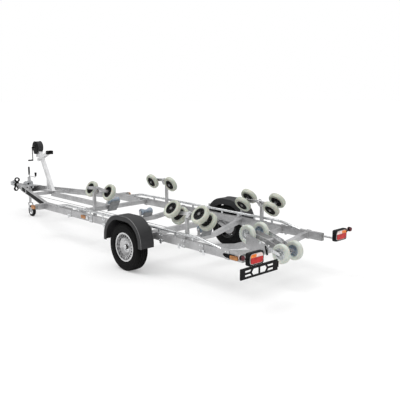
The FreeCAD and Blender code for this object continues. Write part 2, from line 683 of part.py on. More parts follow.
# Overrun housing between the legs, with the plates that hold it
def make_housing():
    wide = f"2 * ({leg_inner(LEG_FRONT)} - size.seat_gap)"
    tube = block("housing_tube", ("size.housing_long", wide, "size.rail_high"),
                 (f"({HOUSING_REAR} + {HOUSING_FRONT}) / 2", "0", RAIL_HIGH_MID))
    rear = LEG_FRONT + " - size.nose_plate_long"
    outline = [(LEG_FRONT, leg_outer(LEG_FRONT)), (rear, leg_outer(rear)),
               (rear, f"-({leg_outer(rear)})"), (LEG_FRONT, f"-({leg_outer(LEG_FRONT)})")]
    plates = []
    for name, high in (("top_plate", RAIL_TOP + " + size.plate_thick / 2"),
                       ("under_plate", "size.rail_under - size.plate_thick / 2")):
        plates.append(place(padded(name, "XY_Plane", outline, "size.plate_thick"), z=high))
    return fuse("housing", [tube] + plates)


finish(make_housing(), "coupling_housing")


def make_bellows():
    bore = "size.shaft_diameter / 2 + size.seat_gap"
    low = "size.bellows_diameter / 2 - 8"
    high = "size.bellows_diameter / 2"
    folds = int(number("size.bellows_folds"))
    outline = [(bore, "0"), (low, "0")]
    for index in range(folds):
        outline.append((high, "size.bellows_long * %s" % ((index + 0.5) / folds)))
        outline.append((low, "size.bellows_long * %s" % ((index + 1) / folds)))
    outline.append((bore, "size.bellows_long"))
    bellows = turned("bellows", outline)
    return place(bellows, HOUSING_FRONT, "0", COUPLING_HIGH, (0, 0, 1), "-90")


finish(make_bellows(), "bellows")


def make_head():
    ball_at = "(size.front_reach - size.head_wide / 2)"
    shaft_long = "(size.bellows_long + 40)"
    shaft = rod("shaft", "size.shaft_diameter", shaft_long,
                (f"{HOUSING_FRONT} + {shaft_long} / 2", "0", COUPLING_HIGH), "x")
    neck_rear = HOUSING_FRONT + " + size.bellows_long"
    crest = COUPLING_HIGH + " + 46"
    neck = padded("neck", "XZ_Plane", [
        (neck_rear, COUPLING_HIGH + " - 32"), (neck_rear, COUPLING_HIGH + " + 32"),
        (ball_at + " - 90", COUPLING_HIGH + " + 34"), (ball_at + " - 20", crest),
        (ball_at, crest), (ball_at, COUPLING_HIGH + " - 24")], "size.head_wide - 14")
    cap = rod("cap", "size.head_wide", "74", (ball_at, "0", COUPLING_HIGH + " + 9"), "z")
    handle = padded("handle", "XZ_Plane", [
        (ball_at + " - 10", crest), (ball_at + " - 40", crest), (ball_at + " - 170", crest + " + 20"),
        (ball_at + " - 176", crest + " + 38"), (ball_at + " - 40", crest + " + 28")], "26")
    ball = "size.ball_diameter / 2 + size.ball_gap"
    socket = doc.addObject("Part::Sphere", "socket")
    bind(socket, Radius=ball)
    place(socket, ball_at, "0", COUPLING_HIGH)
    entry = rod("entry", f"2 * ({ball})", "60", (ball_at, "0", COUPLING_HIGH + " - 30"), "z")
    return cut("head", fuse("head_solid", [shaft, neck, cap, handle]), [socket, entry])


finish(make_head(), "coupling_head")


def make_brake_lever():
    foot = HOUSING_REAR + " - size.lever_back"
    base = RAIL_TOP + " + size.plate_thick"
    tip = base + " + size.lever_long"
    cheek = padded("lever_cheek", "XZ_Plane", [
        (foot + " - 40", base), (foot + " + 50", base), (foot + " + 14", base + " + 62"),
        (foot + " - 14", base + " + 62")], "10")
    bar = padded("lever_bar", "XZ_Plane", [
        (foot + " - 14", base + " + 20"), (foot + " + 14", base + " + 20"),
        (foot + " + 34", tip), (foot + " + 10", tip)], "8")
    place(bar, y="9")
    grip = rod("lever_grip", "30", "size.lever_grip", (foot + " + 23", "9", tip), "z")
    return fuse("lever", [cheek, bar, grip])


finish(make_brake_lever(), "brake_lever")


def make_brake_rod():
    high = BEAM_HIGH + " - 17"
    rear = "size.beam_ahead + size.beam_size / 2"
    front = HOUSING_REAR + " + 40"
    bar = rod("rod_bar", "10", f"({front}) - ({rear})", (f"(({front}) + ({rear})) / 2", "0", high), "x")
    under = "size.rail_under - size.plate_thick"
    drop = block("rod_lever", ("34", "12", f"({under}) - ({high}) + 14"),
                 (front, "0", f"(({under}) + ({high})) / 2 - 7"))
    return fuse("brake_rod", [bar, drop])


finish(make_brake_rod(), "brake_rod")


def make_lead_loops():
    """The lamp lead, wound into a ring and tied down on the housing."""
    ring = doc.addObject("Part::Torus", "lead_ring")
    bind(ring, Radius1="size.lead_ring / 2", Radius2="size.lead_bundle / 2")
    ring.Placement = Placement(Vector(), Rotation(Vector(1, -1, 0), 90))
    foot = RAIL_TOP + " + size.seat_gap"
    place(ring, HOUSING_FRONT + " - size.lead_back", "0",
          f"{foot} + size.lead_ring / 2 + size.lead_bundle / 2")
    saddle = block("lead_tie", ("30", "40", "size.lead_bundle"),
                   (HOUSING_FRONT + " - size.lead_back", "0", f"{foot} + size.lead_bundle / 2"))
    return fuse("lead_loops", [ring, saddle])


finish(make_lead_loops(), "lead_loops")

# Keel beam, and the beams across the frame
keel_rear = "(size.cross_a_at + size.cross_wide / 2)"
keel_front = f"({POST_CROSS} - size.post_cross_size / 2)"
keel = block("keel", (f"{keel_front} - {keel_rear}", "size.keel_wide", "size.keel_high"),
             (f"({keel_front} + {keel_rear}) / 2", "0",
              "size.rail_under + size.keel_rise + size.keel_high / 2"))
finish(keel, "keel_beam")


def make_cross_beam(letter):
    dropped = f"{CROSS_TOP} - size.cross_{letter}_drop"
    beam = padded("cross_" + letter, "YZ_Plane", [
        (f"-({RAIL_INNER})", CROSS_TOP), ("-size.cross_flat", dropped), ("size.cross_flat", dropped),
        (RAIL_INNER, CROSS_TOP), (RAIL_INNER, CROSS_TOP + " - size.cross_high"),
        ("size.cross_flat", dropped + " - size.cross_high"),
        ("-size.cross_flat", dropped + " - size.cross_high"),
        (f"-({RAIL_INNER})", CROSS_TOP + " - size.cross_high")], "size.cross_wide")
    return place(beam, x=CROSS_AT[letter])


def make_post_cross():
    rear = POST_CROSS + " - size.post_cross_size / 2"
    front = POST_CROSS + " + size.post_cross_size / 2"
    beam = padded("post_cross", "XY_Plane", [
        (rear, "-" + leg_inner(rear)), (front, "-" + leg_inner(front)),
        (front, leg_inner(front)), (rear, leg_inner(rear))], "size.post_cross_size")
    return place(beam, z=RAIL_TOP + " - size.post_cross_size / 2")


beams = [make_cross_beam(letter) for letter in "abcde"]
finish(several("cross_beams", beams + [make_post_cross()]), "cross_beams")


# Clamp plates that hold the beams and posts to the rails, and the axle's brackets
def make_clamp(name, at):
    plate = block(name + "_side", ("size.clamp_long", "size.plate_thick",
                                   "size.rail_high + 2 * size.plate_thick"),
                  (at, RAIL_OUTER + " + size.plate_thick / 2", RAIL_HIGH_MID))
    lip = block(name + "_lip", ("size.clamp_long", "size.rail_wide + 2 * size.plate_thick",
                                "size.plate_thick"),
                (at, RAIL_MID, "size.rail_under - size.plate_thick / 2"))
    return fuse(name, [plate, lip])


def make_axle_bracket():
    saddle = block("saddle", ("150", "size.rail_wide", "size.saddle_tall"),
                   ("size.beam_ahead", RAIL_MID, "size.rail_under - size.saddle_tall / 2"))
    foot = "size.rail_under - size.saddle_tall"
    cheek = padded("axle_cheek", "XZ_Plane", [
        ("size.beam_ahead - 105", RAIL_TOP), ("size.beam_ahead - 105", "size.rail_under + 20"),
        ("size.beam_ahead - 60", foot), ("size.beam_ahead + 60", foot),
        ("size.beam_ahead + 105", "size.rail_under + 20"), ("size.beam_ahead + 105", RAIL_TOP)],
        "size.plate_thick")
    place(cheek, y=RAIL_OUTER + " + size.plate_thick / 2")
    return fuse("axle_bracket", [saddle, cheek])


clamps = [make_clamp("clamp_" + letter, CROSS_AT[letter]) for letter in "abcde"]
for kind in ("front", "rear"):
    clamps.append(make_clamp("clamp_%s_head" % kind, "size.%s_head_at" % kind))
clamps.append(make_axle_bracket())
clamps_left = several("clamps_one_side", clamps)
finish(several("frame_clamps", [clamps_left, mirrored("clamps_other_side", clamps_left)]), "frame_clamps")


# Jockey wheel: a sleeve clamped to the left leg, a tube that winds down, a fork that swivels
JOCKEY_SIDE = f"({leg_inner(JOCKEY_AT)} - size.stem_off - size.stem_diameter / 2)"
FORK_TOP = "(size.jockey_diameter + size.fork_rise)"
AXLE_AT = f"({JOCKEY_AT} - size.jockey_trail)"


def make_sleeve():
    tall = "(size.stem_top - size.stem_foot)"
    middle = "(size.stem_top + size.stem_foot) / 2"
    tube = rod("sleeve_tube", "size.stem_diameter", tall, (JOCKEY_AT, JOCKEY_SIDE, middle))
    ring = rod("sleeve_ring", "size.stem_diameter + 14", "size.rail_high - 20",
               (JOCKEY_AT, JOCKEY_SIDE, RAIL_HIGH_MID))
    front = JOCKEY_AT + " + 40"
    rear = JOCKEY_AT + " - 55"
    arm = padded("sleeve_arm", "XY_Plane", [
        (front, leg_inner(front)), (rear, leg_inner(rear)), (rear, JOCKEY_SIDE), (front, JOCKEY_SIDE)],
        "size.rail_high - 30")
    place(arm, z=RAIL_HIGH_MID)
    hole = rod("sleeve_bore", "size.leg_tube_diameter + 2 * size.stem_fit", tall + " - 12",
               (JOCKEY_AT, JOCKEY_SIDE, middle + " - 6"))
    strap_front = JOCKEY_AT + " - size.strap_back + size.strap_wide / 2"
    strap_rear = JOCKEY_AT + " - size.strap_back - size.strap_wide / 2"
    strap = padded("sleeve_strap", "XY_Plane", [
        (strap_front, leg_outer(strap_front) + " + size.plate_thick"),
        (strap_rear, leg_outer(strap_rear) + " + size.plate_thick"),
        (strap_rear, leg_inner(strap_rear) + " - 20"),
        (strap_front, leg_inner(strap_front) + " - 12")], "size.rail_high + 2 * size.plate_thick")
    place(strap, z=RAIL_HIGH_MID)
    far = JOCKEY_AT + " + 150"
    back = JOCKEY_AT + " - 150"
    leg_clear = padded("leg_clear", "XY_Plane", [
        (far, leg_inner(far)), (back, leg_inner(back)), (back, leg_outer(back)),
        (far, leg_outer(far))], "size.rail_high")
    place(leg_clear, z=RAIL_HIGH_MID)
    return cut("sleeve", fuse("sleeve_solid", [tube, ring, arm, strap]), [hole, leg_clear])


finish(make_sleeve(), "jockey_sleeve")


def make_jockey_crank():
    top = "size.stem_top + size.jockey_crank_rise"
    end = JOCKEY_AT + " - size.jockey_crank_reach"
    bar = bent_bar("jockey_crank_bar", [
        (JOCKEY_AT, "size.stem_top"), (JOCKEY_AT, top), (end, top), (end, top + " + 50")],
        "14", "size.jockey_crank_rise - 2", JOCKEY_SIDE)
    grip = rod("jockey_grip", "30", "size.jockey_grip", (end, JOCKEY_SIDE, top + " + 53"))
    return fuse("jockey_crank", [bar, grip])


finish(make_jockey_crank(), "jockey_crank")


def make_jockey_tube():
    foot = FORK_TOP + " + size.seat_gap"
    top = "size.stem_top - size.tube_sunk"
    tube = rod("inner_tube", "size.leg_tube_diameter", f"({top}) - ({foot})",
               (JOCKEY_AT, JOCKEY_SIDE, f"(({top}) + ({foot})) / 2"))
    hole = rod("swivel_bore", "20 + 2 * size.pin_fit", "60", (JOCKEY_AT, JOCKEY_SIDE, foot + " + 29"))
    return cut("jockey_tube", tube, [hole])


finish(make_jockey_tube(), "jockey_tube")


def make_jockey_fork():
    axle_high = "size.jockey_diameter / 2"
    plates = []
    for side, sign in (("near", "+"), ("away", "-")):
        cheek = padded("fork_" + side, "XZ_Plane", [
            (JOCKEY_AT + " + 26", FORK_TOP), (JOCKEY_AT + " - 26", FORK_TOP),
            (AXLE_AT + " - 18", axle_high + " - 4"), (AXLE_AT, axle_high + " - 20"),
            (AXLE_AT + " + 18", axle_high + " - 4")], "6")
        plates.append(place(cheek, y=f"{JOCKEY_SIDE} {sign} (size.jockey_wide / 2 + 8)"))
    crown = block("fork_crown", ("52", "size.jockey_wide + 22", "8"),
                  (JOCKEY_AT, JOCKEY_SIDE, FORK_TOP + " - 4"))
    pivot = rod("fork_pivot", "20", "58", (JOCKEY_AT, JOCKEY_SIDE, FORK_TOP + " + 25"))
    axle = rod("fork_axle", "16", "size.jockey_wide + 34", (AXLE_AT, JOCKEY_SIDE, axle_high), "y")
    return fuse("jockey_fork", plates + [crown, pivot, axle])


finish(make_jockey_fork(), "jockey_fork")
JOCKEY_TYRE = "size.jockey_diameter / 2"
jockey_wheel = turned("jockey_wheel", mirror_outline([
    ("8 + size.pin_fit", "size.jockey_wide / 2"), ("20", "size.jockey_wide / 2"),
    ("20", "10"), (JOCKEY_TYRE + " - 38", "10"), (JOCKEY_TYRE + " - 34", "size.jockey_wide / 2 - 6"),
    (JOCKEY_TYRE + " - 14", "size.jockey_wide / 2 - 2"), (JOCKEY_TYRE, "size.jockey_wide / 2 - 14")]))
place(jockey_wheel, AXLE_AT, JOCKEY_SIDE, JOCKEY_TYRE)
finish(jockey_wheel, "jockey_wheel")

# Winch stand
POST_BASE = RAIL_TOP + " + size.post_plate_thick"
POST_RISE = f"(size.post_head_high - ({POST_BASE}))"
POST_LEAN = f"(size.post_lean / {POST_RISE})"
POST_HALF = f"size.post_size / 2 * sqrt(1 + {POST_LEAN} * {POST_LEAN})"


def make_stop_arms():
    """Two flat arms that pass beside the post and carry the bow stop."""
    front = POST_HEAD + " + size.stop_arm_fore"
    rear = STOP_AT + " + size.stop_front"
    low = "size.post_head_high - size.stop_arm_low"
    half = "size.stop_arm_tall / 2"
    pieces = []
    for side, sign in (("near", ""), ("away", "-")):
        arm = padded("stop_arm_" + side, "XZ_Plane", [
            (front, f"{low} - {half}"), (front, f"{low} + {half}"),
            (rear, f"{STOP_HIGH} - 6 + {half}"), (rear, f"{STOP_HIGH} - 6 - {half}")],
            "size.stop_arm_thick")
        pieces.append(place(arm, y=f"{sign}(size.post_size + size.stop_arm_thick) / 2"))
    across = "size.post_size + 2 * size.stop_arm_thick"
    pieces.append(block("stop_arm_tie", ("size.stop_arm_thick", across, "size.stop_arm_tall"),
                        (front + " - size.stop_arm_thick / 2", "0", low)))
    return pieces


def make_winch_post():
    plate = block("post_plate", ("size.post_plate_long", "size.post_plate_wide", "size.post_plate_thick"),
                  (POST_FOOT + " + size.post_plate_fore", "0", RAIL_TOP + " + size.post_plate_thick / 2"))
    post = padded("post", "XZ_Plane", [
        (f"{POST_FOOT} - {POST_HALF}", POST_BASE), (f"{POST_FOOT} + {POST_HALF}", POST_BASE),
        (f"{POST_HEAD} + {POST_HALF}", "size.post_head_high"),
        (f"{POST_HEAD} - {POST_HALF}", "size.post_head_high")], "size.post_size")
    front = f"({PROP_AT} + size.prop_long / 2)"
    rear = f"({PROP_AT} - size.prop_long / 2)"
    under_front = f"{POST_BASE} + ({front} - {POST_FOOT} - {POST_HALF}) / {POST_LEAN}"
    under_rear = f"{POST_BASE} + ({rear} - {POST_FOOT} - {POST_HALF}) / {POST_LEAN}"
    prop = padded("post_prop", "XZ_Plane", [
        (rear, POST_BASE), (front, POST_BASE), (front, under_front), (rear, under_rear)], "size.prop_wide")
    nose = POST_HEAD + " + size.seat_reach"
    seat = padded("winch_seat_blank", "XZ_Plane", [
        (f"{POST_HEAD} - {POST_HALF}", "size.post_head_high"),
        (nose, "size.post_head_high - size.seat_low"), (nose, "size.post_head_high + size.seat_nose"),
        (WINCH_AT + " - size.seat_back", WINCH_HIGH + " - size.seat_fall")], "size.post_size")
    room = rod("strap_room", "2 * (size.strap_radius + size.strap_clear)", "size.post_size + 20",
               (WINCH_AT, "0", WINCH_HIGH), "y")
    winch_seat = cut("winch_seat", seat, [room])
    return fuse("winch_post", [plate, post, prop, winch_seat] + make_stop_arms())


finish(make_winch_post(), "winch_post")


def make_bow_stop():
    horn = STOP_AT + " - size.stop_rear"
    face = STOP_AT + " + size.stop_front"
    block_shape = padded("stop_block", "XY_Plane", [
        (horn, "size.stop_half"), (face, "size.stop_half"), (face, "-size.stop_half"),
        (horn, "-size.stop_half"), (STOP_AT + " - 5", "0")], "size.stop_tall")
    return place(block_shape, z=STOP_HIGH)


finish(make_bow_stop(), "bow_stop")
CRANK_AT = WINCH_AT + " + 62"
CRANK_HIGH = WINCH_HIGH + " - 14"


def make_winch_frame():
    base_low = f"({WINCH_HIGH} - size.winch_plate_radius - size.winch_foot)"
    sides = []
    for side, sign in (("near", ""), ("away", "-")):
        mid = f"{sign}((size.winch_wide - size.winch_plate) / 2)"
        sides.append(rod("winch_side_" + side, "2 * size.winch_plate_radius", "size.winch_plate",
                         (WINCH_AT, mid, WINCH_HIGH), "y"))
        foot = padded("winch_foot_" + side, "XZ_Plane", [
            (WINCH_AT + " - 55", base_low), (WINCH_AT + " + 55", base_low),
            (WINCH_AT + " + 80", WINCH_HIGH + " - 60"), (WINCH_AT + " - 80", WINCH_HIGH + " - 60")],
            "size.winch_plate")
        sides.append(place(foot, y=mid))
    base = block("winch_base", ("110", "size.winch_wide", "14"), (WINCH_AT, "0", base_low + " + 7"))
    core = rod("winch_axle", "16", "size.winch_wide", (WINCH_AT, "0", WINCH_HIGH), "y")
    pivot = rod("crank_pivot", "16", "40", (CRANK_AT, "size.winch_wide / 2 + 16", CRANK_HIGH), "y")
    return cut("winch_frame", fuse("winch_frame_solid", sides + [base, core, pivot]),
               [doc.getObject("winch_seat")])


finish(make_winch_frame(), "winch_frame")
drum_half = "(size.winch_wide / 2 - size.winch_plate - 3)"
flange = "size.strap_radius + 5"
winch_drum = turned("winch_drum", mirror_outline([
    ("8 + size.pin_fit", drum_half), (flange, drum_half), (flange, drum_half + " - 4"),
    ("size.strap_radius", drum_half + " - 4")]))
place(winch_drum, WINCH_AT, "0", WINCH_HIGH)
finish(winch_drum, "winch_drum")


def make_winch_crank():
    out = "size.winch_wide / 2 + 20"
    boss = rod("crank_boss", "34", "24", (CRANK_AT, out, CRANK_HIGH), "y")
    arm = block("crank_arm", ("22", "8", "size.crank_long"),
                (CRANK_AT, out + " + 8", CRANK_HIGH + " - size.crank_long / 2 + 12"))
    grip = rod("crank_grip", "28", "size.grip_long",
               (CRANK_AT, out + " + 8 + size.grip_long / 2", CRANK_HIGH + " - size.crank_long + 26"), "y")
    hole = rod("crank_bore", "16 + 2 * size.pin_fit", "60", (CRANK_AT, out, CRANK_HIGH), "y")
    return cut("winch_crank", fuse("winch_crank_solid", [boss, arm, grip]), [hole])


finish(make_winch_crank(), "winch_crank")


# Roller heads: posts with a leaning fork and pivot pin, rocker arms, rollers
def make_head_post(kind):
    tilt = f"size.{kind}_head_tilt"
    plate_out = "size.boss_wide / 2 + size.fork_gap + size.fork_plate / 2"
    pieces = []
    for side, sign in (("outer", ""), ("inner", "-")):
        cheek = padded("%s_fork_%s" % (kind, side), "XZ_Plane", [
            ("-26", "-64"), ("26", "-64"), ("26", "4"), ("12", "26"), ("-12", "26"), ("-26", "4")],
            "size.fork_plate")
        pieces.append(at_head(cheek, kind, out="%s(%s)" % (sign, plate_out)))
    floor = padded(kind + "_fork_floor", "XZ_Plane", [
        ("-26", "-72"), ("26", "-72"), ("26", "-60"), ("-26", "-60")],
        "2 * (size.boss_wide / 2 + size.fork_gap + size.fork_plate)")
    pieces.append(at_head(floor, kind))
    pin_long = "2 * (size.boss_wide / 2 + size.fork_gap + size.fork_plate + 6)"
    pin = turned(kind + "_pivot_pin", mirror_outline([
        ("0", pin_long + " / 2"), ("size.pin_diameter / 2", pin_long + " / 2")]))
    pieces.append(at_head(pin, kind))
    side_at = RAIL_INNER + " - size.head_post_size / 2"
    floor_y = f"({RAIL_MID} - size.{kind}_head_in) + 66 * sin({tilt})"
    top = f"size.{kind}_head_high - 66 * cos({tilt}) + 6"
    post = block(kind + "_head_post",
                 ("size.head_post_size", "size.head_post_size", top + " - size.rail_under"),
                 (f"size.{kind}_head_at", side_at, f"({top} + size.rail_under) / 2"))
    yoke = block(kind + "_head_yoke", ("size.head_post_size", f"({side_at}) - ({floor_y}) + 20", "16"),
                 (f"size.{kind}_head_at", f"(({side_at}) + ({floor_y})) / 2", top + " - 14"))
    pieces += [post, yoke]
    return fuse(kind + "_head_stand", pieces)


front_stand = make_head_post("front")
rear_stand = make_head_post("rear")
finish(several("head_posts", [front_stand, rear_stand, mirrored("front_stand_other", front_stand),
                              mirrored("rear_stand_other", rear_stand)]), "head_posts")
PIN_HOLE = "size.pin_diameter + 2 * size.pin_fit"


def make_rocker(kind):
    """A rocker arm in its own frame, pivot at the origin, its roller ends a little lower."""
    reach = "size.%s_arm_reach" % kind
    deep = "size.arm_deep / 2"
    drop = "size.arm_drop"
    bar = padded(kind + "_rocker_bar", "XZ_Plane", [
        ("-" + reach, f"{deep} - {drop}"), ("0", deep + " + 4"), (reach, f"{deep} - {drop}"),
        (reach, f"-{deep} - {drop}"), ("0", f"-{deep} + 2"), ("-" + reach, f"-{deep} - {drop}")],
        "size.arm_bar")
    pieces = [bar, rod(kind + "_pivot_boss", "size.boss_diameter", "size.boss_wide", ("0", "0", "0"), "y")]
    holes = [rod(kind + "_pivot_hole", PIN_HOLE, "80", ("0", "0", "0"), "y")]
    pin_long = "(size.front_roller_in + size.roller_wide / 2 - 4 + size.fork_gap)"
    collar = "(size.front_roller_in - size.roller_wide / 2 + 4 - size.fork_gap)"
    stout = "size.pin_diameter + 12"
    for end, sign in (("fore", ""), ("aft", "-")):
        word = kind + "_" + end
        at = sign + reach
        low = "-" + drop
        pieces.append(rod(word + "_boss", "size.boss_diameter", "size.boss_wide", (at, "0", low), "y"))
        if kind == "rear":
            holes.append(rod(word + "_hole", PIN_HOLE, "80", (at, "0", low), "y"))
        else:
            pieces.append(rod(word + "_pin", "size.pin_diameter", pin_long, (at, f"-{pin_long} / 2", low), "y"))
            pieces.append(rod(word + "_collar", stout, collar, (at, f"-{collar} / 2", low), "y"))
            pieces.append(rod(word + "_nut", stout, "10", (at, f"-{pin_long} - 5", low), "y"))
    return at_head(cut(kind + "_rocker", fuse(kind + "_rocker_solid", pieces), holes), kind)


finish_pair(make_rocker("front"), "front_rocker")
finish_pair(make_rocker("rear"), "rear_rocker")
ROLLER_RADIUS = "size.roller_diameter / 2"
HUB_RADIUS = "size.hub_diameter / 2"


def roller_half(radius, hub):
    """One side of a roller's outline: its recessed hub face and rounded tread."""
    half = "size.roller_wide / 2"
    return [("size.pin_diameter / 2 + size.pin_fit", half + " - 4"), (hub + " - 4", half + " - 8"),
            (hub + " + 5", half), (radius + " - 10", half), (radius + " - 2", half + " - 9"),
            (radius, half + " - 18")]


for end, sign in (("fore", ""), ("aft", "-")):
    roller = turned("front_roller_" + end, mirror_outline(roller_half(ROLLER_RADIUS, HUB_RADIUS)))
    at_head(roller, "front", sign + "size.front_arm_reach", "size.arm_drop", "-size.front_roller_in")
    finish_pair(roller, "front_roller_" + end)


def twin_outline(apart, radius, hub, neck):
    """Two rollers on their through pin, turned as one outline."""
    half = "size.roller_wide / 2"
    outer = f"{apart} / 2 + {half}"
    inner = f"{apart} / 2 - {half}"
    pin = "size.pin_diameter / 2"
    side = [
        ("0", outer + " + 6"), (pin, outer + " + 6"), (pin, outer + " - 4"),
        (hub + " - 4", outer + " - 8"), (hub + " + 5", outer), (radius + " - 10", outer),
        (radius + " - 2", outer + " - 9"), (radius, outer + " - 18"), (radius, inner + " + 18"),
        (radius + " - 2", inner + " + 9"), (radius + " - 10", inner), (hub + " + 5", inner),
        (hub + " - 4", inner + " + 8"), (pin + " + 8", inner + " + 4"), (pin + " + 8", neck), (pin, neck)]
    return mirror_outline(side)


for end, sign in (("fore", ""), ("aft", "-")):
    twin = turned("rear_rollers_" + end, twin_outline(
        "size.twin_apart", ROLLER_RADIUS, HUB_RADIUS, "size.boss_wide / 2 + size.fork_gap"))
    at_head(twin, "rear", sign + "size.rear_arm_reach", "size.arm_drop")
    finish_pair(twin, "rear_rollers_" + end)

# Tilting cradle at the rear
CRADLE_TUBE = "(size.cradle_arm_side + size.arm_bar / 2 + 2)"


def at_cradle(thing, away="0", down="0"):
    """Seats a piece of the cradle, measured along it and down from its pivot."""
    tilt = "size.cradle_tilt"
    return place(thing, f"{CRADLE_AT} + ({away}) * cos({tilt}) + ({down}) * sin({tilt})", "0",
                 f"size.cradle_high + ({away}) * sin({tilt}) - ({down}) * cos({tilt})",
                 (0, 1, 0), "-" + tilt)


def make_cradle():
    tube_long = "2 * " + CRADLE_TUBE
    pieces = [rod("cradle_tube", "size.boss_diameter + 8", tube_long, ("0", "0", "0"), "y")]
    holes = [rod("cradle_hole", PIN_HOLE, tube_long + " + 20", ("0", "0", "0"), "y")]
    deep = "size.arm_deep / 2"
    upper = deep + " - size.arm_drop"
    lower = f"-{deep} - size.arm_drop"
    for side, sign in (("near", ""), ("away", "-")):
        bar = padded("cradle_bar_" + side, "XZ_Plane", [
            ("-size.cradle_aft", upper), ("0", deep + " + 8"), ("size.cradle_fore", upper),
            ("size.cradle_fore", lower), ("0", f"-{deep} - 4"), ("-size.cradle_aft", lower)],
            "size.arm_bar")
        pieces.append(place(bar, y=sign + "size.cradle_arm_side"))
        for end, reach in (("fore", "size.cradle_fore"), ("aft", "-size.cradle_aft")):
            word = side + "_" + end
            spot = (reach, sign + "size.cradle_arm_side", "-size.arm_drop")
            pieces.append(rod("cradle_boss_" + word, "size.boss_diameter", "size.arm_bar + 12", spot, "y"))
            holes.append(rod("cradle_end_hole_" + word, PIN_HOLE, "size.arm_bar + 40", spot, "y"))
    return at_cradle(cut("cradle", fuse("cradle_solid", pieces), holes))


finish(make_cradle(), "cradle_frame")
for end, reach in (("fore", "size.cradle_fore"), ("aft", "-size.cradle_aft")):
    twin = turned("cradle_rollers_" + end, twin_outline(
        "size.cradle_apart", "size.cradle_roller_diameter / 2", HUB_RADIUS,
        "size.cradle_arm_side + size.arm_bar / 2 + 6 + size.fork_gap"))
    at_cradle(twin, reach, "size.arm_drop")
    finish(twin, "cradle_rollers_" + end)


# Keel rollers in their brackets, and the bracket of the cradle
def make_bracket(name, beam, at, high, side, pin):
    """Two plates that stand on a cross beam and hold a pin."""
    top = f"{CROSS_TOP} - size.cross_{beam}_drop"
    beam_at = CROSS_AT[beam]
    pieces = []
    for word, sign in (("near", ""), ("away", "-")):
        cheek = padded("%s_cheek_%s" % (name, word), "XZ_Plane", [
            (beam_at + " - 28", top), (beam_at + " + 28", top), (at + " + 18", high + " + 8"),
            (at + " + 8", high + " + 18"), (at + " - 8", high + " + 18"), (at + " - 18", high + " + 8")],
            "size.plate_thick")
        pieces.append(place(cheek, y=f"{sign}({side} + size.plate_thick / 2)"))
    foot = block(name + "_foot", ("56", f"2 * ({side} + size.plate_thick)", "size.plate_thick"),
                 (beam_at, "0", top + " + size.plate_thick / 2"))
    rod_long = f"2 * ({side} + size.plate_thick + 5)"
    pieces += [foot, rod(name + "_pin", pin, rod_long, (at, "0", high), "y")]
    return fuse(name, pieces)


KEEL_SIDE = "(size.keel_roller_wide / 2 + 2)"
KEEL_PIN = "16"
keel_places = (("a", "size.keel_roller_a_at"), ("b", "size.cross_b_at"), ("c", "size.cross_c_at"))
brackets = [make_bracket("keel_bracket_" + letter, letter, at, f"size.keel_roller_{letter}_high",
                         KEEL_SIDE, KEEL_PIN) for letter, at in keel_places]
brackets.append(make_bracket("cradle_bracket", "e", CRADLE_AT, "size.cradle_high",
                             f"({CRADLE_TUBE} + size.fork_gap)", "size.pin_diameter"))
finish(several("roller_brackets", brackets), "roller_brackets")
for letter, at in keel_places:
    end = "size.keel_roller_end / 2"
    half = "size.keel_roller_wide / 2"
    keel_roller = turned("keel_roller_" + letter, mirror_outline([
        ("8 + size.pin_fit", half), (end + " - 6", half), (end, half + " - 8"), (end, half + " - 34"),
        ("size.keel_roller_waist / 2", "16")]))
    place(keel_roller, at, "0", f"size.keel_roller_{letter}_high")
    finish(keel_roller, "keel_roller_" + letter)

# Mudguards: a moulded arch with a band down each side
GUARD_RUN = "(size.guard_reach - size.guard_flat)"
GUARD_FALL = "(size.guard_top - size.guard_shoulder)"
GUARD_SLANT = f"sqrt({GUARD_RUN} * {GUARD_RUN} + {GUARD_FALL} * {GUARD_FALL})"


def guard_outline(inset, foot):
    """The arch seen from the side, moved inward by a distance square to each edge."""
    shoulder = f"size.guard_shoulder - ({inset}) * ({GUARD_SLANT} - {GUARD_FALL}) / {GUARD_RUN}"
    flat = f"size.guard_flat - ({inset}) * ({GUARD_SLANT} - {GUARD_RUN}) / {GUARD_FALL}"
    reach = f"size.guard_reach - ({inset})"
    top = f"size.guard_top - ({inset})"
    return [(f"-({reach})", foot), (f"-({reach})", shoulder), (f"-({flat})", top),
            (flat, top), (reach, shoulder), (reach, foot)]


def is_bend(edge):
    """The four edges across the arch where its outline turns."""
    across = abs(edge.tangentAt(edge.FirstParameter).y) > 0.99
    return across and edge.CenterOfMass.z > number("size.guard_shoulder - 60")


def is_outer_edge(edge):
    """The edges down both sides of the arch."""
    box = edge.BoundBox
    return box.YLength < 0.01 and box.ZMax > number("size.guard_under + 1")


def guard_solid(name, inset, foot, wide):
    """The arch filled in, its bends rounded about one middle whatever the inset."""
    solid = padded(name, "XZ_Plane", guard_outline(inset, foot), wide)
    return rounded(solid, name + "_bends", f"size.guard_bend - {inset}", is_bend)


def make_guard():
    under = "size.guard_under - 30"
    outer = guard_solid("guard_outer", "0", "size.guard_under", "size.guard_wide")
    rounded(outer, "guard_outer_edges", "size.guard_edge", is_outer_edge)
    inner = guard_solid("guard_inner", "size.guard_wall", under, "size.guard_wide - 2 * size.guard_wall")
    arch = guard_solid("guard_arch", "size.guard_band", under, "size.guard_wide + 20")
    for piece in (outer, inner, arch):
        place(piece, y=GUARD_SIDE)
    return cut("guard", outer, [inner, arch])


finish_pair(make_guard(), "mudguard")


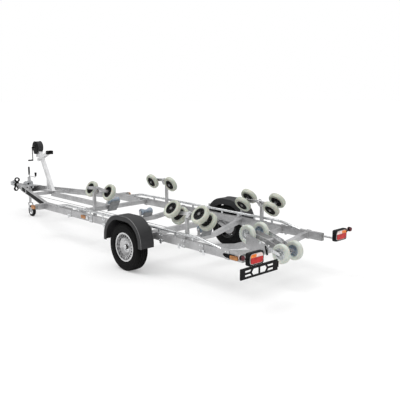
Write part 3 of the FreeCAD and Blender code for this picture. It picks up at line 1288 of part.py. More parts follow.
def make_guard_stay(name, at):
    inner_face = GUARD_SIDE + " - size.guard_wide / 2"
    start = RAIL_OUTER + " - size.rail_wide + size.stay_lap"
    flat = block(name + "_flat", ("size.stay_wide", f"({inner_face}) - ({start})", "size.stay_thick"),
                 (at, f"(({inner_face}) + ({start})) / 2", RAIL_TOP + " + size.stay_thick / 2"))
    tab = block(name + "_tab", ("size.stay_wide", "size.stay_thick", "size.stay_tab"),
                (at, inner_face + " - size.stay_thick / 2", RAIL_TOP + " + size.stay_tab / 2"))
    return fuse(name, [flat, tab])


stays = [make_guard_stay("stay_fore", "size.guard_reach - size.stay_in"),
         make_guard_stay("stay_aft", "size.stay_in - size.guard_reach")]
stays_left = several("stays_one_side", stays)
finish(several("mudguard_stays", [stays_left, mirrored("stays_other_side", stays_left)]), "mudguard_stays")


# Lamps, the arms that carry them, and the plate holder
def is_lamp_corner(edge):
    """The four corner edges that run along the lamp's depth."""
    return abs(edge.tangentAt(edge.FirstParameter).x) > 0.99


def make_tail_lamp():
    """A tail lamp with its rubber stalk marker."""
    half = "size.lamp_wide / 2"
    tall = "size.lamp_tall / 2"
    lamp = padded("tail_lamp_box", "YZ_Plane", [
        ("-" + half, "-" + tall), (half, "-" + tall), (half, tall), ("-" + half, tall)], "size.lamp_deep")
    rounded(lamp, "tail_lamp_corners", "size.lamp_corner", is_lamp_corner)
    place(lamp, "size.lamp_deep / 2 - size.rear_reach", LAMP_SIDE, LAMP_HIGH)
    marker_at = LAMP_SIDE + " + size.stalk_out"
    marker_high = LAMP_HIGH + " + size.stalk_rise"
    bar = "size.stalk_bar / 2"
    stalk = padded("stalk", "YZ_Plane", [
        (f"{LAMP_SIDE} + {half} - 4", f"{LAMP_HIGH} - {bar}"), (marker_at, f"{marker_high} - {bar}"),
        (marker_at, f"{marker_high} + {bar}"), (f"{LAMP_SIDE} + {half} - 4", f"{LAMP_HIGH} + {bar}")],
        "size.stalk_bar")
    place(stalk, x="size.lamp_deep / 2 - size.rear_reach")
    head = rod("stalk_head_round", "size.stalk_head", "size.stalk_head",
               ("size.lamp_deep / 2 - size.rear_reach", marker_at, marker_high), "x")
    return fuse("tail_lamp", [lamp, stalk, head])


tail_lamp = make_tail_lamp()
marker_size = ("size.side_lamp_long", "size.side_lamp_deep", "size.side_lamp_tall")
marker_out = RAIL_OUTER + " + size.side_lamp_deep / 2"
side_lamp = block("side_lamp", marker_size, ("size.side_lamp_at", marker_out, RAIL_HIGH_MID))
rear_side_lamp = block("rear_side_lamp", marker_size,
                       (f"size.rear_side_lamp_in - {RAIL_REAR}", marker_out, RAIL_HIGH_MID + " - 14"))
end_lamp = block("end_lamp", ("size.end_lamp_deep", "size.end_lamp_wide", "size.end_lamp_tall"),
                 (FRONT_BAR_AT, FRONT_BAR_END + " + size.end_lamp_wide / 2", RAIL_HIGH_MID + " + 8"))
lamps_left = several("lamps_one_side", [tail_lamp, side_lamp, rear_side_lamp, end_lamp])
finish(several("lamps", [lamps_left, mirrored("lamps_other_side", lamps_left)]), "lamps")

lamp_front = "(size.rear_reach - size.lamp_deep)"
lamp_arm = rod("lamp_arm", "26", f"{lamp_front} - {RAIL_REAR}",
               (f"-({lamp_front} + {RAIL_REAR}) / 2", RAIL_MID, RAIL_HIGH_MID + " + 14"), "x")
front_bar = block("front_bar", ("60", f"{FRONT_BAR_END} - ({RAIL_INNER})", "size.front_bar_high"),
                  (FRONT_BAR_AT, f"({FRONT_BAR_END} + ({RAIL_INNER})) / 2", RAIL_HIGH_MID))
arms_left = several("arms_one_side", [lamp_arm, front_bar])
finish(several("lamp_arms", [arms_left, mirrored("arms_other_side", arms_left)]), "lamp_arms")


def make_plate_holder():
    half = "size.holder_wide / 2"
    tall = "size.holder_tall / 2"
    bar = "size.holder_bar"
    frame = padded("holder_frame", "YZ_Plane", [
        ("-" + half, "-" + tall), (half, "-" + tall), (half, tall), ("-" + half, tall)],
        "size.holder_thick")
    flange_side = block("holder_side_flange", ("size.holder_flange", "4", "size.holder_tall - 20"),
                        ("size.holder_flange / 2", f"2 - {half}", "0"))
    inner_top = f"{tall} - {bar}"
    shapes = {
        "big": [(bar + " / 2", f"-({inner_top})"), (half + " - 150", f"-({inner_top})"),
                (half + " - 122", "0"), (half + " - 150", inner_top), (bar + " / 2", inner_top)],
        "upper": [(half + " - 128", inner_top), (half + " - 44", inner_top),
                  (half + " - 44", bar + " / 2"), (half + " - 104", bar + " / 2")],
        "lower": [(half + " - 128", f"-({inner_top})"), (half + " - 104", f"-{bar} / 2"),
                  (half + " - 44", f"-{bar} / 2"), (half + " - 44", f"-({inner_top})")],
    }
    windows = []
    for side, sign in (("near", ""), ("away", "-")):
        for word, shape in shapes.items():
            outline = [(f"{sign}({u})", v) for u, v in shape]
            windows.append(padded(f"window_{word}_{side}", "YZ_Plane", outline, "size.holder_thick + 10"))
    framed = cut("plate_frame", frame, windows)
    holder = fuse("plate_holder", [framed, flange_side])
    return place(holder, "size.holder_thick / 2 - size.rear_reach", HOLDER_SIDE,
                 f"{LAMP_HIGH} - size.lamp_tall / 2 - {tall}")


finish(make_plate_holder(), "plate_holder")

# The finished pieces, checked and written
doc.recompute()
for item in doc.Objects:
    if "Invalid" in item.State or "Error" in item.State:
        raise RuntimeError("%s (%s) failed: %s" % (item.Label, item.Name, item.State))
for part in parts:
    shape = part.Shape
    if shape.isNull() or not shape.isValid():
        raise RuntimeError("%s has no valid shape" % part.Label)
for part in parts:
    part.Shape.exportStep("parts/%s.step" % part.Label)
box = parts[0].Shape.BoundBox
volume = 0
for part in parts:
    box.add(part.Shape.BoundBox)
    volume += part.Shape.Volume
print("%d pieces" % len(parts), "volume %.4f m3" % (volume / 1e9))
print("x %.1f to %.1f" % (box.XMin, box.XMax), "y %.1f to %.1f" % (box.YMin, box.YMax))
print("z %.1f to %.1f" % (box.ZMin, box.ZMax))
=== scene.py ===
# %% [markdown]
# # A roller-bed boat trailer, dressed for the studio
# The rails, axle, rocker arms and joints are already built as solids at their real size. On the
# real trailer those solids wear zinc, rubber, plastic and glass, and carry many small things: tyre
# blocks, bolts, lenses, weld beads, a wound strap. This lesson makes those, in metres, with +X the
# way the trailer is towed, +Y its left side and +Z up.

# %% Load the fixed model
import json
import math
import random

import bmesh
import bpy
from mathutils import Matrix, Vector


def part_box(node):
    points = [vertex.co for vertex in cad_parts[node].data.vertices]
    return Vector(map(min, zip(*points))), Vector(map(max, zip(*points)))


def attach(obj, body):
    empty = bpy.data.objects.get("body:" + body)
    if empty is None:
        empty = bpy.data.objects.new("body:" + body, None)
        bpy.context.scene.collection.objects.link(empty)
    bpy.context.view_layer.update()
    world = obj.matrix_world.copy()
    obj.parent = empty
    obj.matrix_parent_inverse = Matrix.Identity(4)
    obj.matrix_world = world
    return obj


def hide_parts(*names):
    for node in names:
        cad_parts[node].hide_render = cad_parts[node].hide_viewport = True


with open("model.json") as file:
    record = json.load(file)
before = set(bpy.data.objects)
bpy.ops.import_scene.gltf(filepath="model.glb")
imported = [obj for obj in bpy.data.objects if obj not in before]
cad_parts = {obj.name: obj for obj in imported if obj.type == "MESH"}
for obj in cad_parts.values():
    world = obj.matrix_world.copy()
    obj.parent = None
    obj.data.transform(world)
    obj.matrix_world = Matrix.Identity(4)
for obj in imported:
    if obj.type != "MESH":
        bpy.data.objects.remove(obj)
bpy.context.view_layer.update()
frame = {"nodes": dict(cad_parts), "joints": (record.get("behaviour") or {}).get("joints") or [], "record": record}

pins = {joint["name"]: joint for joint in frame["joints"]}
SIDES = (("left", 1), ("right", -1))

# %% [markdown]
# ## Where things sit
# Every roller, wheel and arm turns on a pin whose place and lean the model already states. A detail
# could be placed by hand-copied numbers, but then a changed trailer would leave it behind. So the
# places are read from the joints and from the boxes of the solids.

# %% Places taken from the model
FORWARD = Vector((1, 0, 0))
LEFTWARD = Vector((0, 1, 0))
MOVE = Matrix.Translation


def spin(degrees, axis):
    return Matrix.Rotation(math.radians(degrees), 4, axis)


def facing(way, axis="X"):
    """No turn for a way of 1, half a turn about an axis for a way of -1."""
    return spin(90 - 90 * way, axis)


def pin_spot(pin_name):
    return Vector(pins[pin_name]["pos_m"])


def seat_on(pin_name, shift=0.0, way=1):
    """A frame on a joint's pin, X forward and Y along the pin, or back along it for a way of -1."""
    pin = Vector(pins[pin_name]["axis"]).normalized()
    turn = Matrix((FORWARD, pin, FORWARD.cross(pin))).transposed().to_4x4()
    return MOVE(pin_spot(pin_name) + pin * shift) @ turn @ facing(way)


def face_out(spot, way):
    """A frame at a spot whose Z points a given way, for bolts."""
    return MOVE(spot) @ Vector(way).to_track_quat("Z", "Y").to_matrix().to_4x4()


def lie_along(spot, way):
    """A frame at a spot whose Y points a given way, for turned arms and knobs."""
    return MOVE(spot) @ LEFTWARD.rotation_difference(Vector(way)).to_matrix().to_4x4()


def middle_of(node):
    low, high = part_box(node)
    return (low + high) / 2


axle_x = middle_of("tyre_left").x
wheel_radius = (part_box("tyre_left")[1].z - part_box("tyre_left")[0].z) / 2
print("axle at x %.3f, wheel radius %.3f" % (axle_x, wheel_radius))

# %% [markdown]
# ## Outlines
# Nearly every detail starts as a flat outline. Pressed and moulded parts have no sharp corners, so
# one helper makes a rectangle with round corners and another rounds the corners of any polygon. A
# turned part that is alike on both sides is drawn once and mirrored.

# %% Outline helpers
def mirrored(half):
    """A turned outline from its half on the positive side of Y."""
    return half + [(radius, -place) for radius, place in reversed(half)]


def box_corners(half_wide, half_tall):
    return [(sx * half_wide, sy * half_tall) for sx, sy in ((-1, -1), (1, -1), (1, 1), (-1, 1))]


def rounded_outline(wide, tall, corner, steps=6):
    """A rectangle about the origin with round corners."""
    outline = []
    for sx, sz, start in ((1, 1, 0), (-1, 1, 90), (-1, -1, 180), (1, -1, 270)):
        for k in range(steps + 1):
            turn = math.radians(start + 90 * k / steps)
            outline.append((sx * (wide / 2 - corner) + corner * math.cos(turn),
                            sz * (tall / 2 - corner) + corner * math.sin(turn)))
    return outline


def softened(points, cuts, steps=5):
    """A polygon whose corners are rounded, each starting a given distance from its point."""
    corners = [Vector(point) for point in points]
    if isinstance(cuts, float):
        cuts = [cuts] * len(corners)
    outline = []
    for before, here, after, cut in zip(corners[-1:] + corners, corners, corners[1:] + corners[:1], cuts):
        start = here + (before - here).normalized() * cut
        end = here + (after - here).normalized() * cut
        for k in range(steps + 1):
            share = k / steps
            outline.append(tuple(start.lerp(here, share).lerp(here.lerp(end, share), share)))
    return outline


print("points of a rounded square", len(rounded_outline(1, 1, 0.1)))

# %% [markdown]
# ## Meshes by turning and pushing out
# Rubber tyres, rollers, hubs and caps are moulded or turned, so one helper spins an outline about a
# pin. Lamps, plates and brackets are pressed or moulded with rounded edges, so another pushes out a
# flat outline and rounds its edges. Small repeats, such as bolts and weld drops, share one mesh.

# %% Mesh helpers
CRISP = math.radians(38)
FINISH = {}  # every finish by its name, filled in below


def as_mesh(shape, finish):
    mesh = bpy.data.meshes.new("shape")
    bmesh.ops.recalc_face_normals(shape, faces=shape.faces)
    shape.to_mesh(mesh)
    shape.free()
    mesh.polygons.foreach_set("use_smooth", [True] * len(mesh.polygons))
    mesh.set_sharp_from_angle(angle=CRISP)
    mesh.materials.append(FINISH[finish])
    return mesh


def turned(outline, steps, finish, cut_in=None):
    """(Radius, place along Y) points spun about Y, open at its ends where it starts on the axis."""
    shape = bmesh.new()
    rings = []
    for radius, place in outline:
        ring = []
        for step in range(steps):
            turn = math.tau * step / steps
            reach = radius - cut_in(step, radius, place) if cut_in else radius
            ring.append(shape.verts.new((reach * math.cos(turn), place, reach * math.sin(turn))))
        rings.append(ring)
    starts_on_axis = outline[0][0] == 0
    for ring, other in zip(rings, rings[1:] if starts_on_axis else rings[1:] + rings[:1]):
        for k in range(steps):
            shape.faces.new((ring[k - 1], ring[k], other[k], other[k - 1]))
    bmesh.ops.remove_doubles(shape, verts=shape.verts, dist=1e-6)
    return as_mesh(shape, finish)


def pushed(outline, thick, finish, round_by):
    """A flat outline in X and Z, pushed out both ways along Y, its edges rounded."""
    shape = bmesh.new()
    base = shape.faces.new([shape.verts.new((x, -thick / 2, z)) for x, z in outline])
    grown = bmesh.ops.extrude_face_region(shape, geom=[base])["geom"]
    corners = [item for item in grown if isinstance(item, bmesh.types.BMVert)]
    bmesh.ops.translate(shape, verts=corners, vec=(0, thick, 0))
    bmesh.ops.bevel(shape, geom=list(shape.edges), offset=round_by, segments=2, affect="EDGES",
                    clamp_overlap=True)
    return as_mesh(shape, finish)


def slab(wide, tall, deep, corner, finish, round_by=0.002):
    """A rounded slab whose broad face looks along Y."""
    return pushed(rounded_outline(wide, tall, corner), deep, finish, round_by)


def joined(meshes_at, finish):
    """One mesh from many (mesh, place) pairs, so that small repeats stay one piece."""
    shape = bmesh.new()
    for mesh, place in meshes_at:
        copy = mesh.copy()
        copy.transform(place)
        shape.from_mesh(copy)
        bpy.data.meshes.remove(copy)
    mesh = bpy.data.meshes.new("shape")
    shape.to_mesh(mesh)
    shape.free()
    mesh.set_sharp_from_angle(angle=CRISP)
    mesh.materials.append(FINISH[finish])
    return mesh


def along(points, thick, finish, loop=False):
    """A round cable or bead along smooth points."""
    curve = bpy.data.curves.new("shape", "CURVE")
    curve.dimensions = "3D"
    curve.bevel_depth = thick / 2
    curve.bevel_resolution = 3
    curve.use_fill_caps = True
    spline = curve.splines.new("NURBS")
    spline.points.add(len(points) - 1)
    for spot, point in zip(spline.points, points):
        spot.co = (*point, 1)
    spline.order_u = 3
    spline.use_endpoint_u = not loop
    spline.use_cyclic_u = loop
    curve.materials.append(FINISH[finish])
    return curve


def piece(name, shape, place=Matrix(), body="chassis", stands_for=()):
    """Puts a mesh or curve in the scene: most are steel on the chassis, which stands still."""
    shape.name = name
    thing = bpy.data.objects.new(name, shape)
    bpy.context.scene.collection.objects.link(thing)
    thing.matrix_world = place
    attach(thing, body)
    if stands_for:
        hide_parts(*stands_for)


print("crisp edges from %d degrees" % round(math.degrees(CRISP)))

# %% [markdown]
# ## Finishes
# Zinc, rubber and moulded plastic all vary over a few centimetres and again over a millimetre. Each
# finish mixes two real tones by a slow noise, roughens by another and raises a fine grain as bump,
# so that no surface is one flat colour. What sets a finish apart is then added to that base.

# %% A base finish
def set_sockets(node, **values):
    """Gives a node's sockets a constant each, or a link from another node or one of its outputs."""
    for name, value in values.items():
        socket = node.inputs[name.replace("_", " ")]
        if isinstance(value, bpy.types.Node):
            value = value.outputs[0]
        if isinstance(value, bpy.types.NodeSocket):
            node.id_data.links.new(value, socket)
        else:
            socket.default_value = value
    return node


def add_node(tree, kind, **values):
    return set_sockets(tree.nodes.new("ShaderNode" + kind), **values)


def start_finish(name, dark, light, patch, rough, grain, deep, metal=0, shader=()):
    """Two tones mixed by a patchy noise, a range of roughness and a fine grain."""
    FINISH[name] = bpy.data.materials.new(name)
    FINISH[name].use_nodes = True
    tree = FINISH[name].node_tree
    where = add_node(tree, "TexCoord").outputs["Object"]
    patches = add_node(tree, "TexNoise", Scale=patch, Detail=4, Vector=where)
    tones = add_node(tree, "ValToRGB", Fac=patches)
    for stop, place, tone in zip(tones.color_ramp.elements, (0.35, 0.65), (dark, light)):
        stop.position = place
        stop.color = (*tone, 1)
    dull = add_node(tree, "MapRange", Value=patches, From_Min=0.3, From_Max=0.7, To_Min=rough[0],
                    To_Max=rough[1])
    fine = add_node(tree, "TexNoise", Scale=grain, Detail=2, Vector=where)
    relief = add_node(tree, "Bump", Distance=deep, Strength=0.6, Height=fine)
    set_sockets(tree.nodes["Principled BSDF"], Base_Color=tones, Roughness=dull, Normal=relief,
                Metallic=metal, **dict(shader))


def texture_on(name, kind, scale, output="Fac", **settings):
    """Another texture in a finish, read from the same place on the piece."""
    tree = FINISH[name].node_tree
    texture = add_node(tree, kind, Scale=scale, Vector=tree.nodes["Texture Coordinate"].outputs["Object"])
    for setting, value in settings.items():
        setattr(texture, setting, value)
    return texture.outputs[output]


def over_colour(name, level, low, high, tone, amount=1.0):
    """Lays a tone over a finish where a level lies between two values."""
    tree = FINISH[name].node_tree
    base = tree.nodes["Principled BSDF"].inputs["Base Color"]
    mask = add_node(tree, "MapRange", Value=level, From_Min=low, From_Max=high, To_Max=amount)
    mix = add_node(tree, "Mix")
    mix.data_type = "RGBA"
    set_sockets(mix, Factor=mask, A=base.links[0].from_socket, B=(*tone, 1))
    tree.links.new(mix.outputs["Result"], base)


print("finish helpers ready")

# %% [markdown]
# ## Hot-dip zinc
# A dipped trailer is pale grey, a little blue, with crystals a centimetre or two wide, duller runs
# and a few dark specks. A mirror-like metal would be wrong: new zinc dulls within weeks. So the
# metal share stays below one, crystals tint it faintly and specks darken it. The rims are painted
# nearly black behind their discs, as painted shade, by how far a point lies from the keel line.

# %% Zinc and other metals
# Name, dark and light tone, scale of the patches, roughness, the grain's scale and depth, metal share.
METALS = (
    ("zinc", (0.34, 0.34, 0.345), (0.49, 0.49, 0.495), 5, (0.34, 0.5), 220, 0.0003, 0.6),
    # The next tone is plated zinc, also used on the upper tubes as zinc painted lighter, as painted light.
    ("bright_zinc", (0.6, 0.61, 0.62), (0.74, 0.75, 0.76), 18, (0.22, 0.36), 400, 0.0001, 0.9),
    # The next tone is zinc painted lighter, as painted light, for the winch post.
    ("painted_light_zinc", (0.6, 0.6, 0.605), (0.74, 0.74, 0.745), 5, (0.32, 0.46), 220, 0.0003, 0.5),
    # The next tone is zinc painted darker, as painted shade under the keel rollers.
    ("painted_shade_zinc", (0.15, 0.155, 0.16), (0.24, 0.245, 0.25), 18, (0.45, 0.6), 300, 0.0004, 0.5),
    ("cast_zinc", (0.36, 0.37, 0.38), (0.5, 0.51, 0.52), 12, (0.4, 0.6), 500, 0.0005, 0.7),
    # The next tone is the drums' dark cast iron, darkened further as painted shade for what shows through the
    # wheels' slots.
    ("casting", (0.035, 0.033, 0.031), (0.065, 0.061, 0.057), 14, (0.55, 0.8), 600, 0.0006, 0.3),
    ("rim_silver", (0.46, 0.46, 0.465), (0.56, 0.56, 0.565), 9, (0.24, 0.34), 700, 0.00006, 0.85,
     {"Coat_Weight": 0.2}),
    # The next tone is silver painted much lighter, as a painted highlight on the rims' lips.
    ("rim_lip", (0.8, 0.8, 0.8), (0.9, 0.9, 0.9), 12, (0.2, 0.3), 700, 0.00005, 0.6),
)
for row in METALS:
    start_finish(*row)
over_colour("zinc", texture_on("zinc", "TexVoronoi", 70, "Color"), 0.55, 0.95, (0.6, 0.6, 0.61), 0.45)
over_colour("zinc", texture_on("zinc", "TexNoise", 90), 0.66, 0.74, (0.22, 0.22, 0.23), 0.6)
over_colour("casting", texture_on("casting", "TexNoise", 30), 0.56, 0.7, (0.075, 0.035, 0.016), 0.5)
print("metal finishes", len(METALS))

# %% Painted shade inside the rims
DISC_FACE = 0.985
rim_tree = FINISH["rim_silver"].node_tree
place = add_node(rim_tree, "SeparateXYZ", Vector=rim_tree.nodes["Texture Coordinate"].outputs["Object"])
from_keel = add_node(rim_tree, "Math", Value=place.outputs["Y"])
from_keel.operation = "ABSOLUTE"
# Painted shade: the rims turn nearly black inboard of their discs, where shade falls.
over_colour("rim_silver", from_keel, DISC_FACE + 0.008, DISC_FACE - 0.004, (0.018, 0.018, 0.018))
print("painted shade begins %.3f from the keel line" % DISC_FACE)

# %% [markdown]
# ## Rubber and plastic
# The bed rollers are pale greenish rubber that leaves no marks on a hull, on black moulded hubs; the
# keel rollers are a blue-grey plastic that lets a little light in. Tyres are black with a dusty
# bloom, and the mudguards are charcoal with the leathery grain of their mould. The winch strap is
# woven, which a fine checker of threads shows well enough.

# %% Rubber and plastic finishes
MATT = {"Specular_IOR_Level": 0.07}
SOFT_FINISHES = (
    ("pale_rubber", (0.38, 0.4, 0.335), (0.5, 0.515, 0.445), 14, (0.42, 0.58), 500, 0.0003, 0,
     {"Subsurface_Weight": 0.08}),
    ("milky_rubber", (0.46, 0.49, 0.44), (0.59, 0.62, 0.565), 14, (0.35, 0.5), 500, 0.0003, 0,
     {"Subsurface_Weight": 0.1}),
    ("tyre_black", (0.003, 0.003, 0.003), (0.008, 0.008, 0.008), 9, (0.5, 0.7), 450, 0.0005, 0, MATT),
    ("black_rubber", (0.005, 0.005, 0.0055), (0.012, 0.012, 0.0125), 20, (0.45, 0.65), 500, 0.0003, 0,
     MATT),
    ("hub_black", (0.012, 0.012, 0.012), (0.026, 0.026, 0.026), 30, (0.3, 0.45), 800, 0.0002, 0,
     {"Specular_IOR_Level": 0.18}),
    ("guard_plastic", (0.017, 0.017, 0.018), (0.028, 0.028, 0.03), 6, (0.4, 0.55), 300, 0.0002, 0,
     {"Specular_IOR_Level": 0.35}),
    # The next tone is the guard's plastic painted lighter, as a painted highlight along its bead.
    ("guard_edge", (0.1, 0.1, 0.102), (0.15, 0.15, 0.153), 6, (0.3, 0.4), 300, 0.0001),
    ("powder_black", (0.005, 0.005, 0.0055), (0.012, 0.012, 0.013), 16, (0.32, 0.48), 900, 0.0003, 0, MATT),
    ("label_black", (0.004, 0.004, 0.004), (0.009, 0.009, 0.009), 8, (0.6, 0.75), 900, 0.00004, 0, MATT),
    ("hub_grey", (0.44, 0.46, 0.47), (0.62, 0.64, 0.64), 22, (0.25, 0.4), 500, 0.0002, 0.4),
    ("keel_blue", (0.16, 0.2, 0.25), (0.27, 0.32, 0.37), 22, (0.3, 0.45), 500, 0.0002, 0,
     {"Subsurface_Weight": 0.15, "Coat_Weight": 0.2}),
    ("cap_grey", (0.16, 0.16, 0.16), (0.27, 0.27, 0.265), 30, (0.35, 0.5), 500, 0.0002),
    ("pale_trim", (0.5, 0.49, 0.47), (0.62, 0.61, 0.59), 20, (0.25, 0.4), 500, 0.0001, 0.4),
    ("strap_weave", (0.008, 0.008, 0.009), (0.018, 0.018, 0.02), 30, (0.7, 0.85), 600, 0.0002),
)
for row in SOFT_FINISHES:
    start_finish(*row)
scuffs = texture_on("pale_rubber", "TexNoise", 60)
over_colour("pale_rubber", scuffs, 0.62, 0.74, (0.36, 0.37, 0.31), 0.45)
pebbles = texture_on("guard_plastic", "TexVoronoi", 420, "Distance")
over_colour("guard_plastic", pebbles, 0, 0.5, (0.012, 0.012, 0.013), 0.5)
weave = texture_on("strap_weave", "TexChecker", 700)
over_colour("strap_weave", weave, 0.2, 0.8, (0.025, 0.025, 0.028), 0.7)
print("rubber, plastic and strap finishes", len(SOFT_FINISHES))

# %% [markdown]
# ## Lenses
# A lamp's lens is clear coloured plastic over rows of fine prisms that break up the light. Real
# refraction through so small a thing only costs time, so the lens is a glossy coloured coat whose
# prisms are a waved bump, with a faint glow for the light that a real lens throws back.

# %% Lens finishes
LENSES = {"red_lens": ((0.3, 0.004, 0.005), (0.52, 0.01, 0.011)),
          "amber_lens": ((0.66, 0.13, 0.01), (0.86, 0.24, 0.03)),
          "clear_lens": ((0.66, 0.5, 0.47), (0.88, 0.72, 0.69)),
          "orange_lens": ((0.27, 0.105, 0.03), (0.45, 0.2, 0.065)),
          "maroon_lens": ((0.05, 0.006, 0.01), (0.14, 0.01, 0.02))}
for name, (dark, light) in LENSES.items():
    start_finish(name, dark, light, 25, (0.16, 0.24), 900, 0.00002, 0,
                 {"Coat_Weight": 0.15, "Specular_IOR_Level": 0.22, "Emission_Color": (*light, 1),
                  "Emission_Strength": 0.04})
    prisms = texture_on(name, "TexWave", 90, bands_direction="Y")
    set_sockets(FINISH[name].node_tree.nodes["Bump"], Distance=0.0012, Height=prisms)
    over_colour(name, prisms, 0.7, 1.0, [0.55 * tone for tone in dark], 0.5)
print("lens finishes", len(LENSES))

# %% [markdown]
# ## The solids that stay
# Rails, legs, beams, arms and brackets already have the right shape. They only need their zinc, so
# each kept solid gets a finish by what it is made of, and nothing plain is left. The winch post and
# the upper tubes stand in more light than the rails, so their zinc is brighter.

# %% Finishes on the kept solids
SLOT_FINISH = {
    "galvanised_steel": "zinc", "silver_rim": "rim_silver", "cast_drum": "casting",
    "cast_coupling": "cast_zinc", "black_rubber": "black_rubber", "black_painted_steel": "powder_black",
    "black_plastic": "hub_black", "mudguard_plastic": "guard_plastic", "tyre_rubber": "tyre_black",
    "webbing": "strap_weave", "lamp_plastic": "powder_black", "keel_roller_plastic": "keel_blue",
    "roller_rubber": "pale_rubber",
}
# Painted light: these solids take lighter zinc because they stand in more light.
NODE_FINISH = {"winch_post": "painted_light_zinc", "upper_tube_left": "bright_zinc",
               "upper_tube_right": "bright_zinc"}
for row in frame["record"]["subparts"]:
    solid = frame["nodes"][row["node"]]
    solid.data.materials.clear()
    finish = NODE_FINISH.get(row["node"], SLOT_FINISH[row["material_slot"]])
    solid.data.materials.append(FINISH[finish])

# %% [markdown]
# ## Road tyres
# A van tyre has four grooves round it, blocks at its shoulders and ribs between, and a side wall with
# a few raised rings. A tread could be a bump texture, but it breaks the tyre's outline where the eye
# looks, so the rings of points are pushed in where a groove or a cut between blocks lies.

# %% Tyre with a real tread
TREAD_HALF = 0.069
BLOCKS = 60
STEPS_PER_BLOCK = 5
GROOVES = ((-0.05, -0.041), (-0.0215, -0.0135), (0.0135, 0.0215), (0.041, 0.05))
GROOVE_WALL = 0.0006
GROOVE_DEEP = 0.0075
RIB_CUT_DEEP = 0.0035
SHOULDER = 0.3165
SHOULDER_CUT = 0.005
BLOCK_INNER = 0.045
CROWN_DROP = 0.002
WALL = [(0.1806, -0.0685), (0.1968, -0.0695), (0.2035, -0.0765), (0.214, -0.0865), (0.2185, -0.0895),
        (0.2215, -0.0888), (0.236, -0.0912), (0.262, -0.092), (0.266, -0.0905), (0.284, -0.0892),
        (0.2865, -0.0905), (0.302, -0.085), (SHOULDER, -0.0775)]


def tread_depth(step, radius, place):
    """How far the tyre is cut in, a number of steps round it, at one point of its outline."""
    phase = (step + (2 if place > 0 else 0)) % STEPS_PER_BLOCK
    if radius < SHOULDER:
        return 0.0
    if radius == SHOULDER:
        return SHOULDER_CUT if phase == 0 else 0.0
    if any(low < place < high for low, high in GROOVES):
        return GROOVE_DEEP
    if abs(place) > BLOCK_INNER:
        return GROOVE_DEEP if phase == 0 else 0.0
    return RIB_CUT_DEEP if phase == 2 and step // STEPS_PER_BLOCK % 2 == 0 else 0.0


edges = sorted(edge + way * GROOVE_WALL for groove in GROOVES for edge in groove for way in (-1, 1))
crown = [(wheel_radius - CROWN_DROP * (y / TREAD_HALF) ** 2, y)
         for y in [-TREAD_HALF, *edges, TREAD_HALF]]
tyre_mesh = turned(WALL + crown + [(radius, -y) for radius, y in reversed(WALL)], BLOCKS * STEPS_PER_BLOCK,
                   "tyre_black", tread_depth)
for side, sign in SIDES:
    piece(f"tyre_{side}_tread", tyre_mesh, seat_on(f"wheel_{side}_spin"), "wheel_" + side,
          ["tyre_" + side])
print("tyre faces", len(tyre_mesh.polygons))

# %% [markdown]
# ## Bolts
# Everything on such a trailer is bolted so that it can be set for the boat. A bolt is a six-sided
# head on a washer, with the thread's end standing out of a nut. One mesh of each size is enough:
# its copies are joined to one piece per body.

# %% Bolt meshes
def bolt_mesh(across, thread=0.0):
    """A washer, a six-sided head with a chamfer, and the end of the thread, along Z."""
    washer, head = across * 0.12, across * 0.5
    corner = across / math.sqrt(3)
    parts = [(20, across * 0.92, across * 0.88, 0.0, washer), (6, corner, corner, washer, head * 0.8),
             (6, corner, corner * 0.8, washer + head * 0.8, head * 0.2)]
    if thread:
        parts.append((12, across * 0.3, across * 0.24, washer + head, thread))
    shape = bmesh.new()
    for sides, foot, top, start, tall in parts:
        bmesh.ops.create_cone(shape, cap_ends=True, segments=sides, radius1=foot, radius2=top, depth=tall,
                              matrix=MOVE((0, 0, start + tall / 2)))
    return as_mesh(shape, "bright_zinc")


def bolts(name, mesh, spots, body="chassis"):
    """Copies of one bolt at (place, way out) spots, as one piece on a body."""
    copies = [(mesh, face_out(spot, way)) for spot, way in spots]
    piece(name, joined(copies, "bright_zinc"), body=body)


small_bolt = bolt_mesh(0.013, 0.005)
large_bolt = bolt_mesh(0.019, 0.008)
wheel_bolt = bolt_mesh(0.017)
print("faces of a large bolt", len(large_bolt.polygons))

# %% [markdown]
# ## Wheel details
# Five bolts hold each disc to its drum, a cap covers the hub and a rubber valve stands in the rim.
# The bolts sit on the disc's hub face, on the same circle as its holes.
# A thin ring on each rim's lip is painted much lighter, as a painted highlight.

# %% Wheel bolts, valve, hub cap and lip
STUDS = 5
STUD_CIRCLE = 0.056
HUB_FACE = 0.038
VALVE_CIRCLE = 0.166
VALVE_FOOT = 0.04
VALVE_TURN = 205
VALVE = [(0, 0), (0.0062, 0), (0.0048, 0.012), (0.0048, 0.026), (0.0036, 0.028), (0.0036, 0.034),
         (0, 0.034)]
HUB_CAP = [(0, 0.0342), (0.01, 0.034), (0.022, 0.0318), (0.029, 0.0265), (0.0325, 0.018), (0.033, 0),
           (0, 0)]
RIM_LIP = [(0.1885, 0.0735), (0.1895, 0.0752), (0.1925, 0.0758), (0.1955, 0.0752), (0.1962, 0.0735)]
for side, sign in SIDES:
    wheel = "wheel_" + side
    seat = seat_on(wheel + "_spin")
    stud = Vector((STUD_CIRCLE, sign * HUB_FACE, 0))
    spots = [(seat @ spin(-360 * k / STUDS, "Y") @ stud, (0, sign, 0)) for k in range(STUDS)]
    bolts("wheel_bolts_" + side, wheel_bolt, spots, wheel)
    valve_foot = seat @ spin(VALVE_TURN, "Y") @ MOVE((VALVE_CIRCLE, sign * VALVE_FOOT, 0))
    piece("valve_stem_" + side, turned(VALVE, 14, "black_rubber"), valve_foot @ facing(sign),
          wheel)
    piece("hub_cap_" + side, turned(HUB_CAP, 40, "bright_zinc"),
          seat @ facing(sign) @ MOVE((0, HUB_FACE + 0.001, 0)), wheel)
    piece("rim_lip_" + side, turned(RIM_LIP, 96, "rim_lip"), seat @ facing(sign), wheel)
print("wheel details placed")

